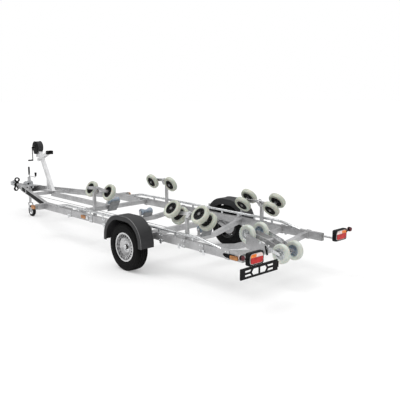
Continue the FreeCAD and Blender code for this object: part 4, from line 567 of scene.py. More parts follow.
# %% [markdown]
# ## Mudguard edges
# The moulding folds over along its outer edge into a bead, painted lighter than the guard as a
# painted highlight, and an inner skirt hides the steelwork above the tyre. Both follow the guard's
# own arch, whose outermost points are read from its solid, so that they fit whatever its size.

# %% Bead and inner skirt of the mudguards
BEAD = 0.009
ARCH_STEP = 5
ARCH_LEAST = 0.3
CREST_PROUD = 0.001
SKIRT_BELOW = 0.006
SKIRT_IN = (0.78, 0.76)


def guard_arch(node):
    """The outermost points of a guard's arch in X and Z, from its front foot over to its rear foot."""
    low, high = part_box(node)
    foot = Vector(((low.x + high.x) / 2, low.z))
    arch = {}
    for vertex in frame["nodes"][node].data.vertices:
        reach = Vector((vertex.co.x, vertex.co.z)) - foot
        slot = round(math.degrees(math.atan2(reach.y, reach.x)) / ARCH_STEP)
        if slot not in arch or reach.length > arch[slot].length:
            arch[slot] = reach
    return foot, [arch[slot] for slot in sorted(arch) if arch[slot].length > ARCH_LEAST]


for side, sign in SIDES:
    foot, arch = guard_arch("mudguard_" + side)
    faces = [corner.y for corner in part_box("mudguard_" + side)]
    inner_y, outer_y = faces[::sign]
    bead_y = outer_y - sign * (BEAD / 2 + 0.0004)
    crest = [reach * (1 + CREST_PROUD / reach.length) for reach in arch]
    # The bead's lighter plastic is a painted highlight.
    bead = along([(foot.x + reach.x, bead_y, foot.y + reach.y) for reach in crest], BEAD, "guard_edge")
    piece("guard_bead_" + side, bead)
    inset = [reach * (1 - SKIRT_BELOW / reach.length) for reach in arch]
    skirt = [tuple(reach) for reach in inset]
    skirt += [(reach.x * SKIRT_IN[0], reach.y * SKIRT_IN[1]) for reach in reversed(inset)]
    piece("guard_skirt_" + side, pushed(skirt, 0.004, "guard_plastic", 0.0006),
          MOVE((foot.x, inner_y + sign * 0.0035, foot.y)))
print("arch points", len(arch))

# %% [markdown]
# ## Bed rollers
# Each roller is a soft pale tyre on a hub. The tyre has rounded shoulders and two shallow grooves,
# the hub a raised rim, spokes and a boss round its pin. Each kind is one mesh, shared by all rollers
# of that kind, which differ only in where they sit.

# %% Roller meshes
ROLLER_RADIUS = 0.1245
HUB_RADIUS = 0.0812
CRADLE_RADIUS = 0.1235
CRADLE_HUB = 0.072
ROLLER_HALF = 0.0348
GROOVE_AT = 0.012
BOSS = 0.0225
PIN_RADIUS = 0.0115
SLEEVE_RADIUS = 0.019
PIN_CAP = [(0, 0.0085), (0.007, 0.0085), (0.0105, 0.0065), (0.0115, 0), (0.019, 0), (0.0195, -0.0022),
           (0, -0.0022)]


def roller_tyre(radius, hub, finish):
    half = [(hub + 0.001, 0.0265), (hub + 0.006, 0.0318), (hub + 0.013, 0.0336),
            (radius - 0.022, ROLLER_HALF), (radius - 0.012, 0.0332), (radius - 0.0055, 0.029),
            (radius - 0.0016, 0.0215), (radius, GROOVE_AT + 0.002), (radius - 0.0012, GROOVE_AT),
            (radius, GROOVE_AT - 0.002)]
    return turned(mirrored(half), 64, finish)


def roller_hub(finish, hub, spokes):
    """A dished ring with a boss, and spokes between them."""
    half = [(0.0125, 0.0285), (0.0215, 0.0285), (0.0235, 0.026), (0.024, 0.0105), (hub - 0.0125, 0.0105),
            (hub - 0.011, 0.026), (hub - 0.008, 0.029), (hub, 0.029), (hub + 0.0012, 0.025)]
    shape = bmesh.new()
    shape.from_mesh(turned(mirrored(half), 48, finish))
    reach = hub - 0.0115 - BOSS
    for k in range(spokes):
        rib = spin(360 * k / spokes, "Y") @ MOVE((BOSS + reach / 2, 0, 0))
        bmesh.ops.create_cube(shape, size=1, matrix=rib @ Matrix.Diagonal((reach, 0.044, 0.005, 1)))
    return as_mesh(shape, finish)


def pin_sleeve(start, end):
    """A tube round a pin, from one place along it to another."""
    return turned([(PIN_RADIUS, start), (SLEEVE_RADIUS, start), (SLEEVE_RADIUS, end), (PIN_RADIUS, end)],
                  20, "bright_zinc")


bed_tyre = roller_tyre(ROLLER_RADIUS, HUB_RADIUS, "pale_rubber")
cradle_tyre = roller_tyre(CRADLE_RADIUS, CRADLE_HUB, "milky_rubber")
black_hub = roller_hub("hub_black", HUB_RADIUS, 8)
blue_hub = roller_hub("keel_blue", CRADLE_HUB, 6)
grey_hub = roller_hub("hub_grey", CRADLE_HUB, 6)
pin_cap = turned(PIN_CAP, 20, "cap_grey")
twin_sleeve = pin_sleeve(0.0212, 0.053)
cradle_sleeve = pin_sleeve(0.0752, 0.096)
print("faces of a roller tyre", len(bed_tyre.polygons))

# %% Rollers on the rocker arms and the cradle
TWIN_HALF = 0.082
CRADLE_HALF = 0.125
PIN_REACH = 0.0305
SINGLE_REACH = 0.0425


def roller(stem, body, shift, tyre, hub, stands_for=()):
    """A rubber tyre and its hub, shifted along the pin that their body turns on."""
    seat = seat_on(body + "_roll", shift)
    piece(stem + "_rubber", tyre, seat, body, stands_for)
    piece(stem + "_hub", hub, seat, body)


def on_pin(name, mesh, body, shift, way):
    """A steel detail on the pin that its body turns on, facing one way along it."""
    piece(name, mesh, seat_on(body + "_roll", shift, way), body=body)


for side, sign in SIDES:
    for end in ("fore", "aft"):
        single = f"front_roller_{end}_{side}"
        roller(single, single, 0.0, bed_tyre, black_hub, [single])
        on_pin(single + "_cap", pin_cap, single, -sign * SINGLE_REACH, -sign)
        twin = f"rear_rollers_{end}_{side}"
        for word, way, stands_for in (("high", sign, [twin]), ("low", -sign, ())):
            roller(f"{twin}_{word}", twin, way * TWIN_HALF, bed_tyre, black_hub, stands_for)
            on_pin(f"{twin}_{word}_cap", pin_cap, twin, way * (TWIN_HALF + PIN_REACH), way)
        for word, way in (("high", sign), ("low", -sign)):
            on_pin(f"{twin}_sleeve_{word}", twin_sleeve, twin, 0.0, way)
for end in ("fore", "aft"):
    pair = "cradle_rollers_" + end
    for word, way in SIDES:
        stem = f"{pair}_{word}"
        hub = grey_hub if word == "left" else blue_hub
        roller(stem, pair, way * CRADLE_HALF, cradle_tyre, hub, [pair] if word == "left" else ())
        on_pin(stem + "_cap", pin_cap, pair, way * (CRADLE_HALF + PIN_REACH), way)
        on_pin(stem + "_spacer", cradle_sleeve, pair, 0.0, way)
print("bed rollers", 4 + 8 + 4)

# %% [markdown]
# ## Outer plates of the cradle
# Each pair of the rear cradle is held on both sides: a flat arm runs outside the rollers from pin to
# pin, and behind it a cheek plate stands on the cross beam and holds the pivot, with a rubber stop
# on its rear edge. Both are cut from plate, so an outline is pushed out by the plate's thickness.

# %% Cradle arms and cheeks
ARM_SIDE = 0.17
CHEEK_SIDE = 0.176
STOP_SPOT = Vector((-0.1, CHEEK_SIDE, -0.078))
STOP_LEAN = 14
fore_pin, aft_pin = pin_spot("cradle_rollers_fore_roll"), pin_spot("cradle_rollers_aft_roll")
pivot = pin_spot("cradle_tilt")
arm_run = fore_pin - aft_pin
arm_mid = (fore_pin + aft_pin) / 2
arm_half = arm_run.length / 2
arm_turn = Matrix.Rotation(-math.atan2(arm_run.z, arm_run.x), 4, "Y")
ARM = [(arm_half + 0.022, -0.009), (arm_half + 0.022, 0.009), (arm_half, 0.021), (0, 0.027),
       (-arm_half, 0.019), (-arm_half - 0.02, 0.008), (-arm_half - 0.02, -0.008), (-arm_half, -0.019),
       (0, -0.027), (arm_half, -0.021)]
CHEEK = [(0.235, -0.115), (0.235, 0.058), (0.205, 0.078), (-0.08, -0.004), (-0.105, -0.03),
         (-0.105, -0.085), (-0.06, -0.115)]
for word, way in SIDES:
    # The arms take the lighter plated zinc as painted light, for their brighter lit faces.
    piece("cradle_arm_" + word, pushed(softened(ARM, 0.007), 0.004, "bright_zinc", 0.0006),
          MOVE((arm_mid.x, way * ARM_SIDE, arm_mid.z)) @ arm_turn, body="cradle")
    piece("cradle_cheek_" + word, pushed(softened(CHEEK, 0.015), 0.006, "zinc", 0.0008),
          MOVE((pivot.x, way * CHEEK_SIDE, pivot.z)))
    bolts("cradle_pivot_bolt_" + word, large_bolt,
          [(Vector((pivot.x, way * (CHEEK_SIDE + 0.003), pivot.z)), (0, way, 0))])
piece("cradle_stop", slab(0.016, 0.118, 0.022, 0.006, "black_rubber"),
      MOVE(Vector((pivot.x, 0, pivot.z)) + STOP_SPOT) @ spin(STOP_LEAN, "Y"))
print("cradle arm %.3f long" % arm_run.length)

# %% [markdown]
# ## Keel rollers
# The keel runs in three waisted rollers. They are turned as one smooth curve from flange to waist,
# with a washer and a nut where the pin comes through each bracket, and a leaning web closes the
# bracket below.
# The webs' zinc is painted darker, as painted shade under the rollers.

# %% Keel rollers
END_RADIUS = 0.0518
WAIST_RADIUS = 0.031
KEEL_HALF = 0.0998
WAIST_STEPS = 8
NUT_SIDE = KEEL_HALF + 0.0132
# Each web's top and foot, as steps from its pin, and half its width.
WEBS = {"a": ((-0.07, 0, -0.004), (0.052, 0, -0.18), 0.093),
        "b": ((-0.07, 0, -0.006), (0.02, 0, -0.155), 0.085),
        "c": ((-0.066, 0, -0.006), (-0.024, 0, -0.112), 0.098)}
keel_half = [(0.0082, KEEL_HALF), (0.03, KEEL_HALF), (0.032, KEEL_HALF - 0.004),
             (END_RADIUS - 0.008, KEEL_HALF - 0.004), (END_RADIUS - 0.006, KEEL_HALF),
             (END_RADIUS - 0.001, KEEL_HALF - 0.003), (END_RADIUS, KEEL_HALF - 0.01),
             (END_RADIUS, KEEL_HALF - 0.028)]
for k in range(WAIST_STEPS):
    left = 1 - (k + 1) / WAIST_STEPS
    keel_half.append((WAIST_RADIUS + (END_RADIUS - WAIST_RADIUS) * left ** 1.7,
                      (KEEL_HALF - 0.03) * left + 0.006 * (1 - left)))
keel_mesh = turned(mirrored(keel_half), 56, "keel_blue")
for letter, (top, foot, half) in WEBS.items():
    node = "keel_roller_" + letter
    centre = middle_of(node)
    top, foot = Vector(top), Vector(foot)
    rise = (top - foot).normalized()
    face = Matrix(((0, -rise.z, rise.x, 0), (1, 0, 0, 0), (0, rise.x, rise.z, 0), (0, 0, 0, 1)))
    piece(node + "_turned", keel_mesh, seat_on(node + "_roll"), node, [node])
    # The web's darker zinc is painted shade.
    piece(node + "_web", slab(2 * half, (top - foot).length, 0.006, 0.01, "painted_shade_zinc", 0.0008),
          MOVE(centre + (top + foot) / 2) @ face)
    bolts(node + "_nuts", large_bolt, [(centre + way * NUT_SIDE, way) for way in (LEFTWARD, -LEFTWARD)])
print("keel roller faces", len(keel_mesh.polygons))

# %% [markdown]
# ## Tail lamps
# The lamps are black boxes with a big rounded lens: amber at the outer top corner, clear at the inner
# one and red below, in a pale frame. The lenses are separate mouldings in the real lamp too, so each
# is its own rounded block, set in the frame with a thin gap.

# %% Lamp housings, frames and lenses
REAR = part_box("lamps")[0].x
LAMP_SIDE = 0.808
LAMP_HIGH = 0.553
LAMP_WIDE = 0.25
LAMP_TALL = 0.146
LAMP_DEEP = 0.06
BORDER_LOW, BORDER_HIGH = -0.057, 0.061
BORDER_FOOT, BORDER_BROW = 0.111, 0.101
LENS_RIM = 0.005
SPLIT = 0.018
SEAM = 0.0012
FACE_BACK = spin(90, "Z")


def lens_half(up):
    """Half the width over the lenses, which narrow upwards."""
    lean = (BORDER_FOOT - BORDER_BROW) / (BORDER_HIGH - BORDER_LOW)
    return BORDER_FOOT - LENS_RIM - lean * (up - BORDER_LOW)


def tail_lamp(side, sign, stands_for):
    def place(back):
        return MOVE((REAR + back, sign * LAMP_SIDE, LAMP_HIGH)) @ FACE_BACK

    piece("lamp_shell_" + side, slab(LAMP_WIDE, LAMP_TALL, LAMP_DEEP - 0.01, 0.022, "powder_black", 0.005),
          place(LAMP_DEEP / 2 + 0.005), stands_for=stands_for)
    border = [(-BORDER_FOOT, BORDER_LOW), (BORDER_FOOT, BORDER_LOW), (BORDER_BROW, BORDER_HIGH),
              (-BORDER_BROW, BORDER_HIGH)]
    piece("lamp_border_" + side, pushed(softened(border, 0.04), 0.01, "pale_trim", 0.002), place(0.0078))
    foot, waist, brow = (lens_half(up) for up in (BORDER_LOW, SPLIT, BORDER_HIGH))
    low, high = BORDER_LOW + LENS_RIM, BORDER_HIGH - LENS_RIM
    under, over = SPLIT - SEAM, SPLIT + SEAM
    inner, outer = 0.0055 * sign, 0.008 * sign
    waist_out, brow_out = waist * sign, brow * sign
    for colour, corners, cuts in (
            ("red", [(-foot, low), (foot, low), (waist, under), (-waist, under)],
             [0.038, 0.038, 0.004, 0.004]),
            ("amber", [(outer, over), (waist_out, over), (brow_out, high), (outer, high)],
             [0.008, 0.004, 0.029, 0.008]),
            ("clear", [(inner, over), (inner, high), (-brow_out, high), (-waist_out, over)],
             [0.008, 0.008, 0.029, 0.004])):
        piece(f"lamp_{colour}_{side}", pushed(softened(corners, cuts), 0.012, colour + "_lens", 0.003),
              place(0.0064))


for side, sign in SIDES:
    tail_lamp(side, sign, ["lamps"] if side == "left" else ())
print("tail lamps placed at x %.3f" % REAR)

# %% Marker lamps on stalks
STALK_SIDE = 1.02
STALK_HIGH = 0.593
BODY_HALF = 0.012
STALK_BODY = [(0, -BODY_HALF), (0.0295, -BODY_HALF), (0.0298, -0.008), (0.0298, 0.008), (0.0295, BODY_HALF),
              (0, BODY_HALF)]
DOME = [(0, 0), (0.0275, 0), (0.0275, 0.008), (0.0255, 0.0135), (0.019, 0.017), (0, 0.0178)]


def stalk_marker(side, sign):
    """A soft rubber arm that leans out and up, with a red lens behind and a clear one ahead."""
    mid_x = REAR + LAMP_DEEP / 2
    start = Vector((mid_x, sign * (LAMP_SIDE + LAMP_WIDE / 2 - 0.002), LAMP_HIGH))
    reach = Vector((mid_x, sign * (STALK_SIDE - 0.02), STALK_HIGH - 0.004)) - start
    arm = [(0, 0), (0.0098, 0), (0.0092, 0.02), (0.007, 0.045), (0.0085, reach.length), (0, reach.length)]
    piece("stalk_arm_" + side, turned(arm, 20, "black_rubber"), lie_along(start, reach))
    seat = MOVE((mid_x, sign * STALK_SIDE, STALK_HIGH)) @ FACE_BACK
    piece("stalk_body_" + side, turned(STALK_BODY, 36, "black_rubber"), seat)
    for colour, finish, way in (("red", "maroon_lens", 1), ("clear", "clear_lens", -1)):
        piece(f"stalk_{colour}_{side}", turned(DOME, 32, finish),
              seat @ facing(way) @ MOVE((0, BODY_HALF, 0)))


for side, sign in SIDES:
    stalk_marker(side, sign)
print("stalk markers out to %.3f" % STALK_SIDE)

# %% Side and front markers
rail_low, rail_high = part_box("side_rail_left")
RAIL_FACE = rail_high.y
RAIL_MID_Z = (rail_low.z + rail_high.z) / 2
FORE_MARKER_X = axle_x + 1.41
AFT_MARKER_X = axle_x - 1.78
FRONT_BAR = Vector((axle_x + 2.65, 0.9505, RAIL_MID_Z + 0.008))
BOOT = [(-0.075, -0.028), (0.06, -0.02), (0.11, 0.006), (0.105, 0.024), (-0.075, 0.03)]


def marker(name, place, wide=0.13, tall=0.05, deep=0.019):
    """A black base with an amber lens on it, facing along the place's Y."""
    piece(name + "_base", slab(wide * 0.92, tall * 0.84, deep * 0.5, tall * 0.2, "powder_black", 0.0015),
          place @ MOVE((0, -deep * 0.25, 0)))
    piece(name + "_lens", slab(wide, tall, deep * 0.7, tall * 0.36, "orange_lens", 0.004),
          place @ MOVE((0, deep * 0.12, 0)))


for side, sign in SIDES:
    turn = facing(sign, "Z")
    for word, x, z in (("fore", FORE_MARKER_X, RAIL_MID_Z), ("aft", AFT_MARKER_X, RAIL_MID_Z - 0.014)):
        marker(f"side_marker_{word}_{side}", MOVE((x, sign * (RAIL_FACE + 0.0105), z)) @ turn)
    bar_end = MOVE((FRONT_BAR.x, sign * FRONT_BAR.y, FRONT_BAR.z)) @ turn
    piece("front_block_" + side, slab(0.1, 0.056, 0.046, 0.008, "cap_grey", 0.003),
          bar_end @ MOVE((0, -0.014, 0)))
    piece("front_lens_" + side, slab(0.104, 0.06, 0.026, 0.014, "orange_lens", 0.005),
          bar_end @ MOVE((0, 0.02, 0)))
    piece("marker_clip_" + side, slab(0.06, 0.044, 0.014, 0.006, "bright_zinc"),
          MOVE((FORE_MARKER_X - 0.097, sign * (RAIL_FACE + 0.0072), RAIL_MID_Z)))
    piece("marker_boot_" + side, pushed(softened(BOOT, 0.012), 0.016, "black_rubber", 0.003),
          MOVE((AFT_MARKER_X + 0.07, sign * (RAIL_FACE + 0.0085), RAIL_MID_Z - 0.012)))
print("markers placed")

# %% [markdown]
# ## Plate holder
# A number plate clips into a moulded frame: broad ends, a deep upper bar, and ribs that form
# arrowheads so that the middle stays stiff. A flat curve with holes in it fills itself and takes a
# small bevel, which is quicker than cutting a slab.

# %% Plate holder from a flat curve
HOLDER_BEVEL = 0.0012
HOLDER_THICK = 0.012
ARROWS = ([(0.009, -0.041), (0.1, -0.041), (0.128, -0.004), (0.1, 0.033), (0.009, 0.033)],
          [(0.122, 0.033), (0.146, 0.006), (0.236, 0.006), (0.236, 0.033)],
          [(0.146, -0.014), (0.122, -0.041), (0.236, -0.041), (0.236, -0.014)])
UPRIGHT = Matrix(((0, 0, 1, 0), (1, 0, 0, 0), (0, 1, 0, 0), (0, 0, 0, 1)))


def flat_frame(rings, finish):
    """A flat outline with holes, in X and Y, given the holder's thickness along Z."""
    curve = bpy.data.curves.new("flat_frame", "CURVE")
    curve.dimensions = "2D"
    curve.fill_mode = "BOTH"
    curve.bevel_depth = HOLDER_BEVEL
    curve.extrude = HOLDER_THICK / 2 - curve.bevel_depth
    for ring in rings:
        spline = curve.splines.new("POLY")
        spline.points.add(len(ring) - 1)
        spline.use_cyclic_u = True
        for spot, point in zip(spline.points, ring):
            spot.co = (*point, 0, 1)
    maker = bpy.data.objects.new("flat_frame", curve)
    mesh = bpy.data.meshes.new_from_object(maker)
    bpy.data.objects.remove(maker)
    mesh.materials.clear()
    mesh.materials.append(FINISH[finish])
    return mesh


holder_low, holder_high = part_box("plate_holder")
half_wide = (holder_high.y - holder_low.y) / 2 - HOLDER_BEVEL
half_tall = (holder_high.z - holder_low.z) / 2 - HOLDER_BEVEL
holder_mid = MOVE((holder_low.x + HOLDER_THICK / 2, (holder_low.y + holder_high.y) / 2,
                   (holder_low.z + holder_high.z) / 2))
rings = [softened(box_corners(half_wide, half_tall), 0.006, 3)]
for arrow in ARROWS:
    rings += [softened([(way * x, y) for x, y in arrow], 0.004, 2) for way in (1, -1)]
piece("plate_frame", flat_frame(rings, "powder_black"), holder_mid @ UPRIGHT,
      stands_for=["plate_holder"])
tab = slab(0.024, 0.072, 0.008, 0.004, "powder_black", 0.0015)
neck = slab(0.01, 0.022, 0.018, 0.003, "powder_black", 0.001)
piece("plate_tab", joined([(tab, MOVE((0, -0.016, 0))), (neck, MOVE((0, -0.006, 0)))], "powder_black"),
      holder_mid @ MOVE((0.01, (holder_low.y - holder_high.y) / 2, 0)))
print("plate holder", round(2 * half_wide, 3), "by", round(2 * half_tall, 3))

# %% [markdown]
# ## Steelwork details
# Clamp plates are drawn up by bolts, rail ends are closed by grey plugs, and struts are welded. The
# weld is a row of overlapping drops, a shallow bead on each side of a strut's foot.

# %% Clamp bolts, tongues and rail plugs
PLATE_FACE = RAIL_FACE + 0.006
CLAMPS = (1.81, 0.87, -0.45, -1.221, -1.66, 1.21, -0.886)
TONGUES = (1.858, 0.87, -0.45, -0.812, -1.262)
AXLE_BRACKET = 0.15


def bolt_grid(mid_x, half_wide, heights, sign):
    """Spots for bolts on the outer face of a rail's clamp plate."""
    return [(Vector((axle_x + mid_x + dx, sign * PLATE_FACE, z)), (0, sign, 0))
            for dx in (-half_wide, half_wide) for z in heights]


for side, sign in SIDES:
    heights = (rail_low.z + 0.018, rail_high.z - 0.018)
    bolts("clamp_bolts_" + side, small_bolt,
          [spot for at in CLAMPS for spot in bolt_grid(at, 0.022, heights, sign)])
    bolts("axle_bolts_" + side, large_bolt,
          bolt_grid(AXLE_BRACKET, 0.078, (rail_high.z - 0.022, rail_low.z + 0.042), sign))
    for count, at in enumerate(TONGUES, start=1):
        piece(f"clamp_tongue_{side}_{count}", slab(0.036, 0.066, 0.012, 0.007, "bright_zinc", 0.0015),
              MOVE((axle_x + at, sign * (RAIL_FACE + 0.0055), rail_low.z + 0.001)))
    piece("rail_plug_" + side, slab(0.0495, 0.0995, 0.008, 0.006, "cap_grey"),
          MOVE((rail_low.x - 0.003, sign * (rail_low.y + rail_high.y) / 2, RAIL_MID_Z)) @ FACE_BACK)
print("clamps", 2 * len(CLAMPS), "tongues", 2 * len(TONGUES))

# %% Weld beads at the struts' feet
random.seed(7)
STRUT_SIDE = 0.75
STRUT_HALF = 0.016
STRUTS = [axle_x - 1.04 + 0.33 * k for k in range(9)]
DROP = 0.0032
ball = bmesh.new()
bmesh.ops.create_icosphere(ball, subdivisions=1, radius=1)
drop = as_mesh(ball, "zinc")


def weld_row(start, end):
    """Overlapping drops from one point to another."""
    run = Vector(end) - Vector(start)
    count = max(2, int(run.length / (DROP * 1.1)))
    for k in range(count + 1):
        grow = DROP * random.uniform(0.85, 1.1)
        yield drop, MOVE(Vector(start) + run * k / count) @ Matrix.Diagonal((grow, grow, grow * 0.8, 1))


for side, sign in SIDES:
    rows = []
    for x in STRUTS:
        for dy in (-0.005, 0.005):
            for z in (rail_high.z, rail_high.z + 0.038):
                y = sign * STRUT_SIDE + dy
                rows += weld_row((x - STRUT_HALF, y, z), (x + STRUT_HALF, y, z))
    piece("strut_welds_" + side, joined(rows, "zinc"))
print("weld drops on a side", len(rows))

# %% [markdown]
# ## Black strip
# A black strip runs along the outer face of the left drawbar leg in two lengths. It is a thin film
# just proud of the steel, so it is a slab about a millimetre thick that leans as the leg does.

# %% Strip on the left leg
NOSE = 5.11
LEG_SLOPE = 0.7 / (NOSE - 2.7)
LEG_STRETCH = math.sqrt(1 + LEG_SLOPE ** 2)
LEG_HALF = 0.025
FILM = 0.0012
STRIPS = ((2.8, 4.285), (4.345, 4.7))
for count, (start, end) in enumerate(STRIPS, start=1):
    middle = (start + end) / 2
    face_y = LEG_SLOPE * (NOSE - middle) + LEG_HALF * LEG_STRETCH + FILM / 2
    strip = slab((end - start) * LEG_STRETCH, 0.078, FILM, 0.004, "label_black", 0.0003)
    piece(f"label_strip_{count}", strip,
          MOVE((axle_x + middle, face_y, RAIL_MID_Z)) @ Matrix.Rotation(-math.atan(LEG_SLOPE), 4, "Z"))
print("label strips", len(STRIPS))

# %% [markdown]
# ## Winch and jockey wheel
# The winch's side plates are pressed with a raised ring, and its strap is wound flat on the drum. The
# jockey wheel is solid rubber on a pressed hub, and both cranks have turned grips.

# %% Winch details
PLATE_SIDE = 0.058
WINCH_COVER = [(0, 0.0065), (0.016, 0.0065), (0.02, 0.0045), (0.072, 0.0045), (0.08, 0.0028),
               (0.104, 0.0024), (0.111, 0.0006), (0.111, 0), (0, 0)]
STRAP_HALF = [(0.0086, 0.049), (0.1085, 0.049), (0.1085, 0.0475), (0.1065, 0.0455), (0.108, 0.0425),
              (0.1078, 0.04)]
winch_mid = pin_spot("winch_spool_turn")
for word, way in SIDES:
    piece("winch_cover_" + word, turned(WINCH_COVER, 56, "powder_black"),
          MOVE(winch_mid + LEFTWARD * way * PLATE_SIDE) @ facing(way))
piece("winch_spool_wound", turned(mirrored(STRAP_HALF), 48, "strap_weave"), MOVE(winch_mid),
      "winch_spool", ["winch_drum"])
print("winch over its covers %.3f wide" % (2 * (PLATE_SIDE + WINCH_COVER[0][1])))

# %% Jockey wheel
JOCKEY_TYRE = [(0.066, 0.02), (0.07, 0.0255), (0.086, 0.03), (0.098, 0.0275), (0.1065, 0.019),
               (0.1098, 0.009)]
JOCKEY_HUB = [(0.0083, 0.0305), (0.017, 0.0305), (0.019, 0.028), (0.02, 0.01), (0.046, 0.006),
              (0.06, 0.014), (0.064, 0.0215), (0.0675, 0.0225)]
piece("jockey_wheel_rubber", turned(mirrored(JOCKEY_TYRE), 56, "black_rubber"), seat_on("jockey_roll"),
      "jockey_roller", ["jockey_wheel"])
piece("jockey_wheel_hub", turned(mirrored(JOCKEY_HUB), 48, "bright_zinc"), seat_on("jockey_roll"),
      body="jockey_roller")
print("jockey wheel radius", JOCKEY_TYRE[-1][0])

# %% Grips of the winch, the jockey wheel's crank and the hand brake
STAND_UP = spin(90, "X")
GRIP_LONG = 0.0895
GRIP_THICK = 0.0284
GRIP_RINGS = 5
GRIP_RING = ((0.25, 0.5), (0.7, 0.5), (0.95, 0.44))
KNOB_LONG = 0.0712
CRANK_KNOB = [(0, 0), (0.0155, 0), (0.0162, 0.012), (0.019, 0.04), (0.0225, 0.06), (0.0215, 0.068),
              (0.015, KNOB_LONG), (0, KNOB_LONG)]
LEVER_GRIP = [(0, 0), (0.015, 0), (0.0172, 0.004), (0.0172, 0.15), (0.014, 0.1605), (0, 0.1608)]
LEVER_X = axle_x + 4.63
LEVER_Y = 0.009
grip = [(0, 0), (GRIP_THICK * 0.42, 0)]
for k in range(GRIP_RINGS):
    grip += [(GRIP_THICK * share, GRIP_LONG * (k + at) / GRIP_RINGS) for at, share in GRIP_RING]
grip += [(GRIP_THICK * 0.3, GRIP_LONG), (0, GRIP_LONG)]
crank_low, crank_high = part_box("winch_crank")
piece("winch_grip", turned(grip, 24, "black_rubber"),
      MOVE((middle_of("winch_crank").x, crank_high.y - 0.09, crank_low.z + 0.014)),
      "winch_handle")
jockey_low, jockey_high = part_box("jockey_crank")
piece("jockey_crank_knob", turned(CRANK_KNOB, 24, "black_rubber"),
      MOVE((jockey_low.x + 0.015, middle_of("jockey_crank").y, jockey_high.z - 0.0705)) @ STAND_UP)
piece("brake_lever_grip", turned(LEVER_GRIP, 24, "black_rubber"),
      MOVE((LEVER_X, LEVER_Y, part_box("brake_lever")[1].z - 0.1605)) @ STAND_UP)
print("grips placed")

# %% [markdown]
# ## Wound lamp lead
# The lead to the car is wound up and hung over the coupling when the trailer is parked: a few turns
# stand above the housing and a few hang beside it, tied in the middle. Loose turns are never alike,
# so each is its own closed curve with a little lean and size of its own.

# %% Loops of the lead
LEAD_THICK = 0.0165
LOOP_POINTS = 10
ACROSS = Vector((0.68, 0.733, 0))
SIDEWAYS = Vector((1, -1, 0))
lead_mid = middle_of("lead_loops")
UPPER = Vector((lead_mid.x + 0.047, lead_mid.y + 0.045, 0.622))
LOWER = Vector((lead_mid.x + 0.05, lead_mid.y + 0.066, 0.446))
# Each turn's middle, half width, half height, shift to the side and lean.
TURNS = ((UPPER, 0.046, 0.044, 0.0, 0.004), (UPPER, 0.037, 0.036, 0.01, -0.01),
         (UPPER, 0.044, 0.047, -0.011, 0.012), (UPPER, 0.036, 0.043, -0.004, 0.02),
         (UPPER, 0.049, 0.04, 0.014, 0), (LOWER, 0.04, 0.046, 0.0, 0.006),
         (LOWER, 0.034, 0.04, 0.01, -0.008), (LOWER, 0.043, 0.043, -0.01, 0.014),
         (LOWER, 0.03, 0.045, -0.004, -0.014))
LEAD_PLUG = [(0, 0), (0.0085, 0), (0.0105, 0.012), (0.0165, 0.026), (0.0165, 0.062), (0.018, 0.064),
             (0.018, 0.07), (0, 0.07)]
for count, (middle, wide, tall, slip, lean) in enumerate(TURNS, start=1):
    spots = []
    for k in range(LOOP_POINTS):
        turn = math.tau * k / LOOP_POINTS
        out, up = wide * math.cos(turn), math.sin(turn)
        spots.append(middle + ACROSS * out + Vector((0, 0, tall * up)) + SIDEWAYS * (slip + lean * up))
    piece(f"lead_loop_{count}", along(spots, LEAD_THICK, "black_rubber", loop=True),
          stands_for=["lead_loops"] if count == 1 else ())
piece("lead_tie", pushed(softened(box_corners(0.02, 0.012), 0.005), 0.03, "black_rubber", 0.003),
      MOVE(UPPER + Vector((-0.01, -0.01, -0.05))))
piece("lead_plug", turned(LEAD_PLUG, 24, "black_rubber"),
      MOVE((lead_mid.x + 0.048, 0.083, 0.52)) @ spin(-80, "X"))
print("turns of the lead", len(TURNS))

# %% [markdown]
# ## Clamp of the jockey wheel and lever bracket
# A cast clamp grips the jockey wheel's tube above the leg, tightened by a screw with a black knob,
# and the hand brake lever stands in a folded bracket on the housing.

# %% Clamp and bracket
COLLAR = [(0.0305, 0), (0.038, 0), (0.04, 0.004), (0.04, 0.034), (0.0365, 0.04), (0.0365, 0.058),
          (0.04, 0.064), (0.04, 0.096), (0.038, 0.1), (0.0305, 0.1)]
LUG = [(-0.03, -0.05), (0.03, -0.05), (0.034, 0.03), (0.016, 0.052), (-0.016, 0.052), (-0.034, 0.03)]
CLAMP_KNOB = [(0, 0), (0.007, 0), (0.007, 0.02), (0.015, 0.024), (0.0165, 0.03), (0.0165, 0.044),
              (0.012, 0.05), (0, 0.05)]
BRACKET = [(-0.105, 0), (0.125, 0), (0.105, 0.048), (0.02, 0.078), (-0.06, 0.07), (-0.1, 0.03)]
HOUSING_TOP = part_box("coupling_housing")[1].z
stem = pin_spot("jockey_swivel")


def by_stem(x, y, height):
    """A spot beside the jockey wheel's tube, at a height above the ground."""
    return Vector((stem.x + x, stem.y + y, height))


piece("clamp_collar", turned(COLLAR, 40, "cast_zinc"), MOVE(by_stem(0, 0, 0.592)) @ STAND_UP)
piece("clamp_lug", pushed(softened(LUG, 0.008), 0.034, "cast_zinc", 0.003),
      MOVE(by_stem(-0.052, -0.01, 0.64)) @ spin(35, "Z"))
piece("clamp_foot", slab(0.11, 0.052, 0.03, 0.008, "cast_zinc", 0.003), MOVE(by_stem(0, -0.046, 0.57)))
for name, spot, way in (("clamp_knob", by_stem(-0.03, 0.028, 0.642), (-0.7, 0.7, 0)),
                        ("clamp_knob_low", by_stem(-0.07, -0.01, 0.574), (-0.8, 0.5, 0))):
    piece(name, turned(CLAMP_KNOB, 24, "black_rubber"), lie_along(spot, way))
piece("lever_bracket", pushed(softened(BRACKET, 0.012), 0.048, "cast_zinc", 0.003),
      MOVE((LEVER_X + 0.115, LEVER_Y, HOUSING_TOP + 0.0004)))
print("clamp and bracket placed")

